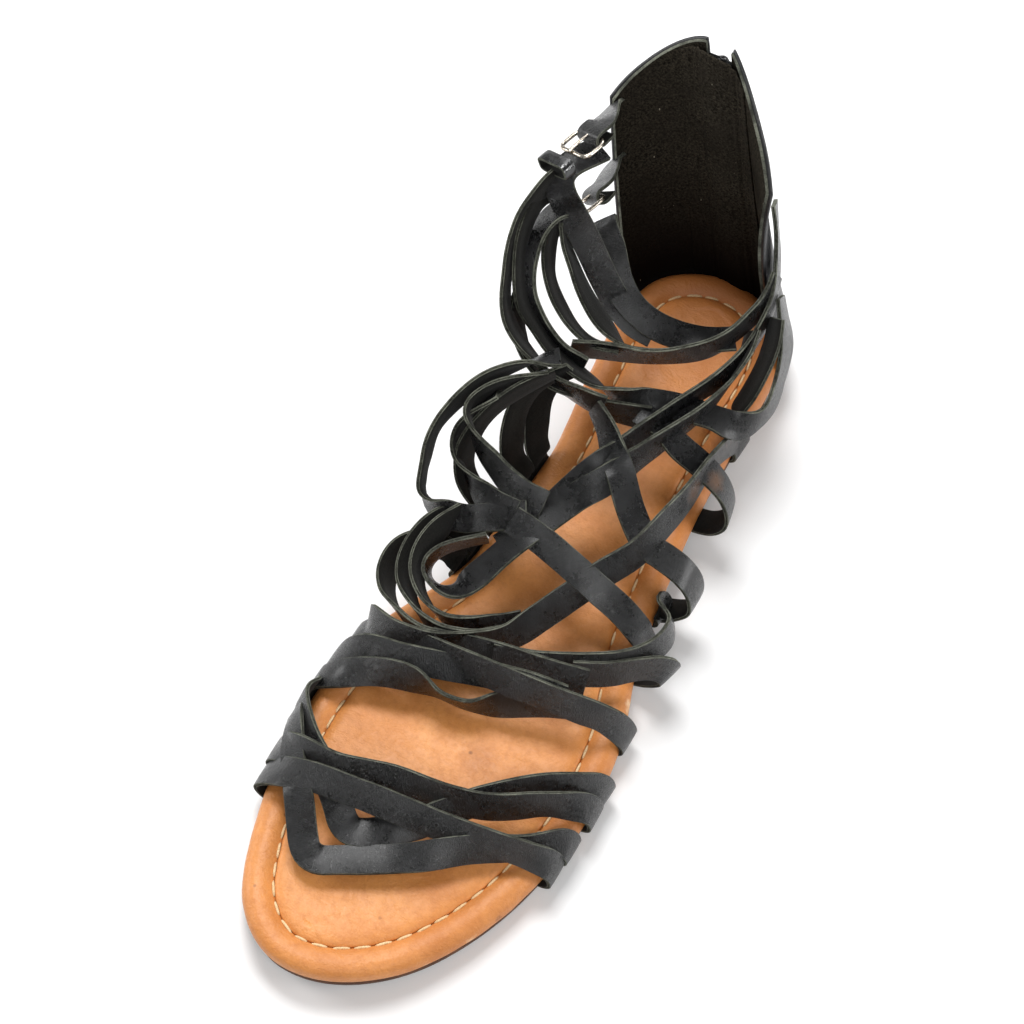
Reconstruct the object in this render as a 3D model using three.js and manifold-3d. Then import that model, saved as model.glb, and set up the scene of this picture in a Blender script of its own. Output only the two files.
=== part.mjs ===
// Left gladiator sandal for an adult foot: a flat leather-look sole, an upper of narrow straps that
// cross over the foot and ankle, and a tall zipped heel counter with two small buckles.
// Millimetres, +Z up. The toe points to -Y and the outer (little toe) side is +X. The origin is on the
// floor under the middle of the heel. Places are given as along (from the back of the heel towards
// the toe), across (positive to the outer side, negative to the inner side) and up (from the floor).

import * as THREE from "three";
import { mergeVertices } from "three/addons/utils/BufferGeometryUtils.js";
import Module from "manifold-3d";

const wasm = await Module();
wasm.setup();

// Sides of the shoe, as signs of across
const OUTER = 1;
const INNER = -1;

// Driving dimensions
const SOLE_LENGTH = 256;
const HEEL_BACK = 32; // the back of the heel lies this far behind the origin
const GAP = 0.3; // clearance between separate pieces
const OUTSOLE_THICKNESS = 3;
const HEEL_LIFT_FRONT = 60; // along of the straight front face of the heel lift
const OUTLINE_STEPS = 22; // stations on each side of the sole

const STRAP_WIDTH = 8.6;
const STRAP_THICKNESS = 1.8;
const STRAP_STEP = 12; // longest straight stretch of a strap
const TAIL_REACH = 9; // how far a strap's tail runs in under the footbed
const TAIL_CLEARANCE = 0.8; // how much wider and thicker a tail's pocket is than the tail

const COUNTER_THICKNESS = 2.2;
const COUNTER_TOP = 118; // height of the counter beside the zip
const COUNTER_CORNER = 91; // height of its top front corners
const ZIP_HALF_OPENING = 3.9; // from the middle of the zip to the edge of each counter half
const ZIP_WIDTH = 4.4;
const ZIP_THICKNESS = 1.6;

// Outline of the sole seen from above: the middle of the width and half the width.
const outlineRows = [
  { along: 8, middle: -1, half: 19.5 },
  { along: 23, middle: -1, half: 26 },
  { along: 51, middle: 0.5, half: 25.5 },
  { along: 84, middle: 3.5, half: 24.5 },
  { along: 120, middle: 4.5, half: 28.5 },
  { along: 154, middle: 2.5, half: 40.5 },
  { along: 179, middle: 1.5, half: 43.5 },
  { along: 205, middle: 0.5, half: 40.5 },
  { along: 228, middle: -1, half: 33 },
  { along: 246, middle: -3.5, half: 21.5 },
];
const HEEL_ROUNDNESS = 60; // half width over the sine of the outline angle, at the heel
const TOE_ROUNDNESS = 56; // the same at the toe
const TOE_MIDDLE = -6;

// Underside of the outsole: raised over the heel lift and the arch, flat at the ball, toe spring.
const soleRows = [
  { along: 0, up: 6 },
  { along: 64, up: 6 },
  { along: 88, up: 6.2 },
  { along: 112, up: 4.2 },
  { along: 134, up: 1.4 },
  { along: 152, up: 0 },
  { along: 206, up: 0 },
  { along: 230, up: 1 },
  { along: 246, up: 2.6 },
  { along: 256, up: 4 },
];

// Smooth value between table rows, with no overshoot, so that equal rows give a level stretch.
function between(rows, column, along) {
  const last = rows.length - 1;
  if (along <= rows[0].along) return rows[0][column];
  if (along >= rows[last].along) return rows[last][column];
  let i = 0;
  while (rows[i + 1].along < along) i += 1;
  const slope = (j) => (rows[j + 1][column] - rows[j][column]) / (rows[j + 1].along - rows[j].along);
  const bend = (j) => {
    if (j === 0) return slope(0);
    if (j === last) return slope(last - 1);
    const [before, after] = [slope(j - 1), slope(j)];
    return before * after <= 0 ? 0 : (2 * before * after) / (before + after);
  };
  const span = rows[i + 1].along - rows[i].along;
  const t = (along - rows[i].along) / span;
  const [a, b] = [rows[i][column], rows[i + 1][column]];
  const [da, db] = [bend(i) * span, bend(i + 1) * span];
  return a + t * (da + t * (3 * (b - a) - 2 * da - db + t * (da + db - 2 * (b - a))));
}

// The outline is tabled against an angle, 0 at the heel and PI at the toe, which rounds both ends.
const outlineAngle = (along) => Math.acos(1 - (2 * along) / SOLE_LENGTH);
const alongOfAngle = (angle) => (SOLE_LENGTH / 2) * (1 - Math.cos(angle));
const angleRows = [
  { along: 0, middle: outlineRows[0].middle, roundness: HEEL_ROUNDNESS },
  ...outlineRows.map(({ along, middle, half }) => {
    const angle = outlineAngle(along);
    return { along: angle, middle, roundness: half / Math.sin(angle) };
  }),
  { along: Math.PI, middle: TOE_MIDDLE, roundness: TOE_ROUNDNESS },
];

// A point of the outline on one side, moved out by an offset square to it.
function outlinePoint(side, angle, offset = 0) {
  const plain = (a) => {
    const half = between(angleRows, "roundness", Math.abs(a)) * Math.sin(a);
    const middle = between(angleRows, "middle", Math.abs(a));
    return new THREE.Vector2(alongOfAngle(a), middle + side * half);
  };
  const point = plain(angle);
  if (offset === 0) return point;
  const reach = 0.02;
  const run = plain(Math.min(angle + reach, Math.PI)).sub(plain(angle - reach)).normalize();
  return point.add(new THREE.Vector2(-side * run.y, side * run.x).multiplyScalar(offset));
}

function edgeAcross(side, along) {
  return outlinePoint(side, outlineAngle(along)).y;
}

const soleUnder = (along) => between(soleRows, "up", along);
const soleJoint = (along) => soleUnder(along) + OUTSOLE_THICKNESS; // top face of the outsole

function place(along, across, up) {
  return new THREE.Vector3(across, HEEL_BACK - along, up);
}

// Solids
function geometryFrom(points, faces) {
  const geometry = new THREE.BufferGeometry();
  const numbers = points.flatMap((point) => point.toArray());
  geometry.setAttribute("position", new THREE.Float32BufferAttribute(numbers, 3));
  geometry.setIndex(faces);
  return geometry;
}

function toSolid(geometry) {
  const bare = geometry.clone();
  bare.deleteAttribute("normal");
  bare.deleteAttribute("uv");
  const merged = mergeVertices(bare);
  return new wasm.Manifold(
    new wasm.Mesh({
      numProp: 3,
      vertProperties: new Float32Array(merged.attributes.position.array),
      triVerts: new Uint32Array(merged.index.array),
    }),
  );
}

function toGeometry(solid) {
  const mesh = solid.getMesh();
  const geometry = new THREE.BufferGeometry();
  geometry.setAttribute("position", new THREE.Float32BufferAttribute(mesh.vertProperties, 3));
  geometry.setIndex([...mesh.triVerts]);
  return geometry;
}

function meshOf(name, geometry, material) {
  const flat = geometry.index ? geometry.toNonIndexed() : geometry;
  flat.deleteAttribute("normal");
  flat.computeVertexNormals();
  const mesh = new THREE.Mesh(flat, material);
  mesh.name = name;
  return mesh;
}

// A flat layer with the sole's outline. Each row is a ring: how far in from the outline, and how far
// above the base height. The rings run from the middle of the underside out and up to the middle.
function soleLayer(rings, base) {
  const around = 2 * OUTLINE_STEPS;
  const points = rings.flatMap(({ inset, height }) =>
    Array.from({ length: around }, (_, i) => {
      const side = i <= OUTLINE_STEPS ? OUTER : INNER;
      const step = i <= OUTLINE_STEPS ? i : around - i;
      const spot = outlinePoint(side, (Math.PI * step) / OUTLINE_STEPS, -inset);
      return place(spot.x, spot.y, base(spot.x) + height);
    }),
  );
  const faces = [];
  for (let ring = 0; ring < rings.length - 1; ring += 1) {
    for (let i = 0; i < around; i += 1) {
      const [a, b] = [ring * around + i, ring * around + ((i + 1) % around)];
      faces.push(a, a + around, b, b, a + around, b + around);
    }
  }
  const cap = (start, flip) => {
    for (let i = 0; i < OUTLINE_STEPS; i += 1) {
      const [outer, outerNext] = [start + i, start + i + 1];
      const [inner, innerNext] = [start + ((around - i) % around), start + around - i - 1];
      const square = [outer, outerNext, inner, inner, outerNext, innerNext];
      for (let t = 0; t < square.length; t += 3) {
        const [a, b, c] = square.slice(t, t + 3);
        if (a !== b && b !== c && a !== c) faces.push(...(flip ? [a, c, b] : [a, b, c]));
      }
    }
  };
  cap(0, false);
  cap((rings.length - 1) * around, true);
  return geometryFrom(points, faces);
}

// A strip along a smooth path. Each guide has a point and the way its outer face looks.
function strip(guides, width, thickness) {
  const curve = new THREE.CatmullRomCurve3(guides.map((guide) => guide.point), false, "centripetal");
  const times = [];
  for (let i = 0; i < guides.length - 1; i += 1) {
    const steps = Math.ceil(guides[i].point.distanceTo(guides[i + 1].point) / STRAP_STEP);
    for (let k = 0; k < steps; k += 1) times.push(i + k / steps);
  }
  times.push(guides.length - 1);
  const points = times.flatMap((time) => {
    const i = Math.min(Math.floor(time), guides.length - 2);
    const share = time / (guides.length - 1);
    const run = curve.getTangent(share);
    const face = guides[i].face.clone().lerp(guides[i + 1].face, time - i);
    face.addScaledVector(run, -face.dot(run)).normalize();
    const wide = run.clone().cross(face).multiplyScalar(width / 2);
    const deep = face.multiplyScalar(thickness / 2);
    const middle = curve.getPoint(share);
    return [
      middle.clone().add(wide).add(deep),
      middle.clone().sub(wide).add(deep),
      middle.clone().sub(wide).sub(deep),
      middle.clone().add(wide).sub(deep),
    ];
  });
  const faces = [0, 1, 2, 0, 2, 3];
  const lastRing = points.length - 4;
  faces.push(lastRing, lastRing + 2, lastRing + 1, lastRing, lastRing + 3, lastRing + 2);
  for (let ring = 0; ring < lastRing; ring += 4) {
    for (let i = 0; i < 4; i += 1) {
      const [a, b] = [ring + i, ring + ((i + 1) % 4)];
      faces.push(a, a + 4, b, b, a + 4, b + 4);
    }
  }
  return geometryFrom(points, faces);
}

// Middle line of the foot and leg, which the straps face away from. It lies deep under the toes,
// so that the straps there face nearly straight up.
const lastMiddle = [
  { along: 256, across: -4, up: -60 },
  { along: 185, across: 0, up: -60 },
  { along: 150, across: 2, up: -35 },
  { along: 115, across: 2, up: 8 },
  { along: 72, across: -2, up: 32 },
  { along: 45, across: -12, up: 120 },
].map(({ along, across, up }) => place(along, across, up));

function awayFromLast(point) {
  let nearest = null;
  for (let i = 0; i < lastMiddle.length - 1; i += 1) {
    const line = new THREE.Line3(lastMiddle[i], lastMiddle[i + 1]);
    const spot = line.closestPointToPoint(point, true, new THREE.Vector3());
    if (!nearest || spot.distanceTo(point) < nearest.distanceTo(point)) nearest = spot;
  }
  return point.clone().sub(nearest).normalize();
}

// How a strap's tail leaves the sole: out from the footbed's edge, up from the joint below it, and the
// tilt of its face (1 half way up, -1 half way down). A tight tail hugs the edge of the footbed, and a
// loose one leaves it as the start of a slack loop.
const TAIL_BEND = 1.4; // how far in from the edge a tail starts to turn up
const TIGHT = [
  { out: 1.5, rise: 3.4, tilt: 0 },
  { out: 1.7, rise: 6.4, tilt: 0 },
  { out: 0.3, rise: 9.6, tilt: 1 },
];
const LOOSE = [{ out: 2, rise: 2.6, tilt: -1 }];

// The tail of a strap, from under the footbed round its edge, as guides from the inside out.
function tailGuides(side, along, hold, extra = 0) {
  const edge = edgeAcross(side, along);
  const joint = soleJoint(along);
  const under = new THREE.Vector3(0, joint - soleJoint(along + 1), -1);
  const level = joint + GAP + STRAP_THICKNESS / 2;
  return [
    { point: place(along, edge - side * (TAIL_REACH + extra), level), face: under },
    { point: place(along, edge - side * TAIL_BEND, level), face: under },
    ...hold.map(({ out, rise, tilt }) => ({
      point: place(along, edge + side * out, joint + rise),
      face: new THREE.Vector3(side, 0, tilt).normalize(),
    })),
  ];
}

// Straps. from and to say where an end is lashed under the sole: the side, the along and the hold. An
// end without one is joined to another strap. Each route row is a place the strap passes: along,
// across, up and, where its face is turned about its run, the turn in degrees.
const straps = {
  toeFront: {
    from: [INNER, 211, TIGHT],
    route: [[209, -28, 23], [206, -12, 23], [203, 6, 21], [199, 26, 19.5], [196, 37, 17.5]],
    to: [OUTER, 194, TIGHT],
  },
  toeBack: {
    from: [INNER, 203, TIGHT],
    route: [[203, -33, 23], [203, -20, 25.5], [198, -5, 24.5], [191, 20, 20.5], [180, 36, 18.5]],
    to: [OUTER, 174, TIGHT],
  },
  toeLongLoop: {
    from: [INNER, 189, TIGHT],
    route: [
      [194, -40, 20], [203, -35, 21.6], [209, -30.5, 21.4], [216, -24.5, 20.5], [222.5, -19.5, 19],
      [226.5, -15.8, 17.9], [226.8, -12, 17.4], [224.5, -8, 17.3], [220, -0.5, 17.4], [213, 10.5, 17.8],
      [203, 23, 18.2], [195, 35, 16.8],
    ],
    to: [OUTER, 186, TIGHT],
  },
  toeShortLoop: {
    from: [INNER, 182, TIGHT],
    route: [
      [189, -41, 20], [198, -33, 23], [204, -24.5, 22.6], [210.5, -15.5, 20.4], [214.3, -11.2, 18.4],
      [215, -8, 17.6], [212.8, -3.8, 17.4], [205, 6, 18.5], [196, 13, 19.5], [185, 23, 20.5],
      [177, 32, 20.5], [171, 40, 17.5],
    ],
    to: [OUTER, 167, TIGHT],
  },
  ballFront: {
    from: [INNER, 171, TIGHT],
    route: [
      [167, -32, 23], [165, -21, 25], [161, -8, 25.5], [158, 2, 26], [155, 14, 26.5], [153, 24, 25],
    ],
  },
  ballTwisted: {
    from: [INNER, 178, TIGHT],
    route: [
      [172, -28, 21], [169, -18, 22.5], [168, -8, 20, 50], [166, 1, 18.5, 50], [161, 10, 20],
      [157, 19, 23], [154, 27, 24.6],
    ],
  },
  ballBack: {
    from: [INNER, 161, TIGHT],
    route: [
      [160, -29, 23], [160, -18, 26], [159, -6, 27.5], [158, 5, 27.5], [156, 17, 26.5], [154, 28, 25],
      [151, 37, 20.5],
    ],
    to: [OUTER, 149, TIGHT],
  },
  ballInnerStub: {
    route: [[157, -17, 25.6], [152.5, -4, 24.9], [150, 6, 24.8], [148, 17, 24.5], [145, 27, 23.5]],
  },
  waistLow: {
    route: [
      [152, 0, 24.5], [147, 12, 23.5], [140, 24, 23], [134, 33, 24.5], [127, 39, 25.5], [117, 39, 21.5],
    ],
    to: [OUTER, 110, TIGHT],
  },
  waistLoop: {
    route: [
      [144, 22, 22], [139, 31, 22.2], [134, 37, 22.8], [130.6, 41.4, 22.2], [128.6, 44.4, 19.6],
      [128, 45, 15.2],
    ],
    to: [OUTER, 128, LOOSE],
  },
  waistDown: {
    route: [
      [117, -14, 37.5], [118, -3, 36], [120, 8, 34.3], [121.5, 17, 32], [122, 26, 27], [123, 33, 21],
    ],
    to: [OUTER, 122, TIGHT],
  },
  longWrap: {
    from: [INNER, 156, TIGHT],
    route: [
      [158.5, -36, 22.6], [160.5, -28, 26, 8], [158, -17, 26.4, 20], [152, -8, 25, 30],
      [144, 1, 24, 20], [136, 5.6, 26.2, 5], [126.5, 11, 29.6], [117.2, 16, 32.8], [107, 22, 35.6],
      [95.6, 24.6, 37.6], [85, 26, 36.8], [70, 26, 33.8], [58, 26.5, 27],
    ],
    to: [OUTER, 51, TIGHT],
  },
  waistOuterLoop: {
    route: [
      [102.6, 22, 32.6], [103.2, 28.3, 32.8], [103.4, 35, 30], [104, 39.6, 24.6], [105.6, 40.4, 16],
    ],
    to: [OUTER, 108, LOOSE],
  },
  heelOuterLoop: {
    route: [
      [70, 2, 43], [71, 9, 42], [73, 17, 39], [73, 25, 34.8], [74, 33, 28], [76, 36, 21],
      [77, 33.5, 15.5],
    ],
    to: [OUTER, 77, LOOSE],
  },
  instepLink: {
    route: [
      [77, -9, 47], [81, -3, 45.5], [86, 2, 44], [90.4, 6.6, 42.6], [96.3, 12.3, 39.4],
      [100.2, 17.4, 36.4], [102.4, 21.6, 33.8], [103.4, 26, 32.6],
    ],
  },
  instepLow: {
    route: [
      [122.8, -18.7, 31, -106], [127.5, -24.4, 30, -115], [132.3, -28.9, 29, -132],
      [137.3, -30.2, 28.5, -142], [141, -28.3, 28.4, -130], [142.7, -23.6, 28.6, -112],
      [141.6, -18.4, 29.6, -55], [136.8, -15.6, 31.4], [128.5, -12.6, 33], [120.4, -9.6, 35],
      [110.4, -5, 37], [101, -0.5, 39.5], [96, 3, 41], [82, 9, 42], [70, 14, 42.5], [58, 18, 42],
      [46, 19.6, 42], [38, 19.4, 43.5], [31, 18, 46],
    ],
  },
  instepHigh: {
    route: [
      [124, -14, 32.2], [112, -7.5, 36], [96, -1.6, 41], [83, 4, 43.4], [61, 12, 43.8, -11],
      [44, 18, 42.8, -23], [33, 19.4, 44.3, -41], [27, 19.6, 46.6, -50], [22, 19.2, 49.6, -49],
      [17, 17.6, 53.4, -44], [12.5, 15.2, 57.4, -45], [8.6, 12.6, 61.6, -49], [5.6, 10.2, 65.8, -52],
      [3, 7.9, 69.6, -54],
    ],
  },
  innerLoopOuter: {
    route: [
      [76, -22, 62, 20], [83, -31, 60.5, 45], [92, -38.5, 58, 50], [102, -43, 53.5, 45],
      [109, -45, 48, 35], [115, -44, 41.5, 25], [119, -43, 34, 20], [121, -38, 29, 10], [121, -29, 30],
      [118, -20, 34.5], [114, -11, 38],
    ],
  },
  innerLoopMiddle: {
    route: [
      [80, -24, 58, 20], [93, -36, 56, 45], [100, -38, 53.5, 40], [104, -34, 50, 25],
      [107, -26, 44.5, 10], [109, -16, 39.5], [109, -8, 39],
    ],
  },
  innerLoopInner: {
    route: [
      [92, -33, 56, 30], [102, -39.5, 47, 40], [107, -38, 40.5, 35], [111, -31, 35.5, 20],
      [114, -23, 35], [115, -14, 37],
    ],
  },
  innerSideFront: {
    from: [INNER, 109, TIGHT],
    route: [
      [109.5, -31, 26, -14], [108.5, -35, 35, -40], [104, -36, 44, -55], [96, -33.5, 51, -60],
      [87, -28, 55.5, -50], [79, -22, 57.5, -40],
    ],
  },
  innerSideMiddle: {
    from: [INNER, 94.5, TIGHT],
    route: [
      [94.5, -26, 24, -23], [93, -28, 34, -45], [89, -29, 43, -60], [83, -28, 49.5, -58],
      [77, -24, 53, -50],
    ],
  },
  innerSideBack: {
    from: [INNER, 86, TIGHT],
    route: [
      [85.5, -23.5, 22, -17], [83.5, -25, 32, -42], [80, -26, 41, -58], [75.5, -24, 48, -60],
      [72, -20, 51, -50],
    ],
  },
  innerRimFront: {
    from: [INNER, 126, TIGHT],
    route: [
      [129, -36, 22, 30], [136, -40.5, 24, 55], [143, -40.5, 23, 60], [149, -37, 22, 55],
      [153, -30, 23, 45], [156, -22, 24.6, 30], [155, -13, 24.4, 15], [151, -5, 23],
    ],
  },
  innerRimMiddle: {
    from: [INNER, 119, TIGHT],
    route: [
      [122, -34, 27, 30], [131, -36, 30, 60], [139, -35.5, 29, 65], [145, -33, 27, 60],
      [150, -27, 26, 50], [153, -19, 25.4, 35], [150.5, -8, 23.6, 20], [145, -1, 22],
    ],
  },
  innerRimBack: {
    route: [
      [120, -30, 31, 30], [130, -32, 33, 60], [136, -32.5, 32, 65], [142, -31, 30, 60],
      [147, -26, 28, 50], [149, -19, 26.4, 40], [147.5, -12, 24.2, 25], [143, -4, 22.6], [138, 2, 22.6],
    ],
  },
  ankleUpper: {
    route: [
      [25.2, -38.4, 90.4, -106], [29.6, -40.2, 91.4, -104], [34, -42, 92.4, -97], [39, -43, 93.2, -90],
      [42.7, -42.4, 93, -102], [44.3, -40.4, 90, -135], [44, -37.8, 84, -155], [44, -33.6, 76, -165],
      [44.3, -29.5, 67.5, -171], [44.7, -25, 58.4, -179], [46, -19.6, 51.6, 168],
      [47.2, -13, 47.6, 140], [46.8, -6.6, 46.2, 130],
    ],
  },
  ankleLower: {
    route: [
      [30.6, -33.2, 65.4, -111], [33.8, -31.2, 65.2, -147], [36, -28, 62.6, -176],
      [38.6, -25.1, 59, -175], [41.8, -21.6, 55.4, 176], [44.3, -17.2, 52.6, 158],
      [45.6, -11.2, 50.4, 141], [45.6, -4.8, 48.8, 119], [44, 1.4, 47.6, 110], [41.6, 7, 47, 108],
      [38.6, 11.6, 46.6, 112], [36.4, 14.6, 46.6, 116],
    ],
  },
  ankleOuterLoop: {
    route: [
      [42, -43.6, 92.5], [44.5, -44.8, 92], [49.7, -46.2, 90], [53.8, -47.2, 87], [59.3, -47, 82],
      [65, -45.6, 75], [69.4, -44, 68], [72, -41.4, 62], [74, -36.6, 57], [75.3, -30.3, 53],
      [76.5, -22.5, 50], [76.5, -14, 48.5], [76, -7, 47.5],
    ],
  },
  ankleLongWrap: {
    route: [
      [42.5, -43.8, 88], [46, -45.2, 88.5], [51, -46, 86], [56.5, -45.5, 82], [60.7, -44.1, 76],
      [64.5, -41.9, 70], [66.5, -39.2, 64], [67, -35, 59], [68.8, -28.1, 52.5], [70, -21, 49],
      [70.3, -13.8, 47], [69.6, -4.6, 45.5], [66.4, 3.6, 44], [62.5, 11.4, 42], [59, 19.4, 38.5],
      [56, 26.8, 35], [50, 31, 34], [45, 31.8, 34, -19], [40, 31.2, 35, -29], [34, 29.6, 36.3, -33],
      [29, 28, 38.4, -41], [24, 25.2, 41.6, -47], [20.5, 22.2, 44.6, -47], [17.6, 19.6, 47.6, -46],
    ],
  },
  ankleUnder: {
    route: [
      [60.5, -43, 66], [66, -42.5, 58], [70, -39, 52], [73.5, -33.5, 46.5], [75.5, -25, 43],
      [75, -16, 41.5], [73.5, -8, 41], [71.5, -1, 41], [69.5, 5, 41],
    ],
  },
  ankleArc: {
    route: [
      [45.5, -40.4, 83.5, -79], [47.5, -41.3, 84, -67], [52.2, -42.6, 82, -58], [56, -42.8, 78, -55],
      [59.4, -42.3, 72, -51], [62.8, -40.2, 66, -52], [65, -36.4, 60, -58], [66.4, -31.8, 55, -61],
      [67.6, -25.8, 51, -63], [67.5, -18, 49, -71],
    ],
  },
  ankleInnerArc: {
    route: [
      [47, -39.8, 80, -15], [50.4, -40.1, 77, -14], [54.1, -38.7, 71, -17], [57.2, -36, 65, -25],
      [58.7, -31.8, 58, -37], [60.3, -26.2, 53, -48], [60.8, -20.2, 50, -86], [58.5, -12, 49, -121],
    ],
  },
  ankleMiddle: {
    route: [
      [45.5, -39.5, 80, -44], [47.7, -37.4, 74, -46], [49.8, -33.2, 68, -46], [51.9, -29, 62, -42],
      [53.4, -24, 56, -48], [55.3, -17.6, 52, -65], [57, -11.6, 50, -118], [57, -7, 49.4, -149],
      [55.3, -2.6, 49, -163],
    ],
  },
  ankleFront: {
    route: [
      [66, -24, 51, -156], [61.5, -16, 50, -158], [59, -10.4, 49.5, -160], [55.3, -2.6, 49, -160],
      [50.4, 4.4, 49, -148], [44.4, 10.6, 49.3, -98], [37.5, 14.4, 50, -55], [31, 16.2, 50.5, -52],
      [25.5, 17.6, 51.5, -57], [20.5, 17.8, 53.4, -59], [16, 17, 55.4, -59],
    ],
  },
  heelOuterWrap: {
    from: [OUTER, 51, TIGHT],
    route: [[50, 23.4, 29], [45, 24.4, 33], [40, 25, 37], [34, 25, 41.8], [29, 24, 46], [25.5, 22.4, 49]],
  },
};

function strapGuides({ from, route, to }) {
  const middle = route.map(([along, across, up, turn = 0]) => {
    const point = place(along, across, up);
    return { point, face: awayFromLast(point), turn };
  });
  middle.forEach((guide, i) => {
    const before = middle[Math.max(i - 1, 0)].point;
    const after = middle[Math.min(i + 1, middle.length - 1)].point;
    const run = after.clone().sub(before).normalize();
    guide.face.addScaledVector(run, -guide.face.dot(run)).normalize();
    guide.face.applyAxisAngle(run, THREE.MathUtils.degToRad(guide.turn));
  });
  const start = from ? tailGuides(...from) : [];
  const end = to ? tailGuides(...to).reverse() : [];
  return [...start, ...middle, ...end];
}

const strapSolids = Object.values(straps).map((strap) =>
  toSolid(strip(strapGuides(strap), STRAP_WIDTH, STRAP_THICKNESS)),
);
const tailPockets = Object.values(straps)
  .flatMap(({ from, to }) => [from, to])
  .filter(Boolean)
  .map((end) => tailGuides(...end, TAIL_CLEARANCE))
  .map((guides) => strip(guides, STRAP_WIDTH + TAIL_CLEARANCE, STRAP_THICKNESS + TAIL_CLEARANCE))
  .map(toSolid);

// Heel counter. Above the footbed it leans to the inner side and a little backward.
const COUNTER_LEAN_START = 17;
const COUNTER_LEAN = { along: -0.03, across: -0.17 }; // shift for each millimetre of height
// flare is the outward shift of a half's front edge for each millimetre of height. draw pulls the front
// edge in, most at half height, and hollow pulls the middle in, most at the top.
const counterHalves = {
  inner: { side: INNER, frontLow: 23, frontHigh: 14, flare: 0.08, draw: 0, hollow: 0 },
  outer: { side: OUTER, frontLow: 22, frontHigh: 17, flare: 0, draw: 5.8, hollow: 2.8 },
};
const DRAW_START = 0.1; // the draw sets in at this rise
const DRAW_SPAN = 1.05; // and runs to its most and back over this much rise
const COUNTER_COLUMNS = 8;
const COUNTER_ROWS = 7;

function leanAt(up) {
  const rise = Math.max(0, up - COUNTER_LEAN_START);
  return place(COUNTER_LEAN.along * rise, COUNTER_LEAN.across * rise, 0).sub(place(0, 0, 0));
}

// reach runs from 0 at the zip to 1 at the front edge, rise from 0 at the foot to 1 at the top.
function counterPoint({ side, frontLow, frontHigh, flare, draw, hollow }, reach, rise, depth) {
  const front = THREE.MathUtils.lerp(outlineAngle(frontLow), outlineAngle(frontHigh), rise);
  const zipEdge = ZIP_HALF_OPENING / HEEL_ROUNDNESS;
  const angle = THREE.MathUtils.lerp(zipEdge, front, reach);
  const top = THREE.MathUtils.lerp(COUNTER_TOP, COUNTER_CORNER, reach ** 1.3);
  const foot = soleJoint(0) + 2 * GAP;
  const up = THREE.MathUtils.lerp(foot, top, rise);
  const spread =
    flare * reach * Math.max(0, up - COUNTER_LEAN_START) -
    draw * reach * Math.sin((Math.PI * Math.max(0, rise - DRAW_START)) / DRAW_SPAN) -
    hollow * 4 * reach * (1 - reach) * rise ** 2;
  const spot = outlinePoint(side, angle, 2 * GAP + depth + spread);
  return place(spot.x, spot.y, up).add(leanAt(up));
}

function counterHalf(half) {
  const columns = COUNTER_COLUMNS + 1;
  const rows = COUNTER_ROWS + 1;
  const sheet = (depth) =>
    Array.from({ length: columns * rows }, (_, i) => {
      const column = i % columns;
      const row = Math.floor(i / columns);
      return counterPoint(half, column / COUNTER_COLUMNS, row / COUNTER_ROWS, depth);
    });
  const points = [...sheet(0), ...sheet(COUNTER_THICKNESS)];
  const back = columns * rows;
  const faces = [];
  const square = (a, b, c, d) => {
    faces.push(...(half.side === INNER ? [a, c, b, a, d, c] : [a, b, c, a, c, d]));
  };
  for (let row = 0; row < COUNTER_ROWS; row += 1) {
    for (let column = 0; column < COUNTER_COLUMNS; column += 1) {
      const a = row * columns + column;
      square(a, a + 1, a + columns + 1, a + columns);
      square(back + a, back + a + columns, back + a + columns + 1, back + a + 1);
    }
  }
  for (let column = 0; column < COUNTER_COLUMNS; column += 1) {
    const top = COUNTER_ROWS * columns + column;
    square(column, back + column, back + column + 1, column + 1);
    square(top, top + 1, back + top + 1, back + top);
  }
  for (let row = 0; row < COUNTER_ROWS; row += 1) {
    const left = row * columns;
    const right = left + COUNTER_COLUMNS;
    square(left, left + columns, back + left + columns, back + left);
    square(right, back + right, back + right + columns, right + columns);
  }
  return geometryFrom(points, faces);
}

// Buckles: a frame leaning back by its tilt, with its bar held by a leather tab of the counter.
// The local x runs forward along the strap, y across the strap and z out of the shoe.
const BUCKLE = { length: 9.6, height: 12.4, wire: 1.3, corner: 2.2 };
const BAR_X = -BUCKLE.length / 2 + BUCKLE.wire / 2;
const TAB = { width: 8.6, thickness: 1.2, loop: 2, front: 4, fold: 3 }; // loop is its radius round the bar
const TAB_ROOT = 0.9; // where a tab starts, as a reach along the counter
const PRONG = { width: 1.6, thickness: 0.8, loop: 1.7, straight: 2.5, tip: 1.5 };
const buckles = {
  upper: { along: 30.4, across: -41.8, up: 96.6, yaw: 15, tilt: 66, tabRise: 0.93 },
  lower: { along: 32.4, across: -38.6, up: 71, yaw: 15, tilt: 42, tabRise: 0.69 },
};

function buckleMatrix({ along, across, up, yaw, tilt }) {
  const turn = THREE.MathUtils.degToRad(yaw);
  const lean = THREE.MathUtils.degToRad(tilt);
  const forward = new THREE.Vector3(-Math.sin(turn), -Math.cos(turn), 0);
  const high = new THREE.Vector3(0, 0, 1).applyAxisAngle(forward, -lean);
  const out = forward.clone().cross(high);
  return new THREE.Matrix4().makeBasis(forward, high, out).setPosition(place(along, across, up));
}

function roundedRectangle(length, height, corner) {
  const shape = new THREE.Shape();
  const [x, y] = [length / 2 - corner, height / 2 - corner];
  shape.absarc(x, y, corner, 0, Math.PI / 2);
  shape.absarc(-x, y, corner, Math.PI / 2, Math.PI);
  shape.absarc(-x, -y, corner, Math.PI, 1.5 * Math.PI);
  shape.absarc(x, -y, corner, 1.5 * Math.PI, 2 * Math.PI);
  shape.closePath();
  return shape;
}

function extrude(shape, depth, curveSegments) {
  return new THREE.ExtrudeGeometry(shape, { depth, bevelEnabled: false, curveSegments });
}

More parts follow.
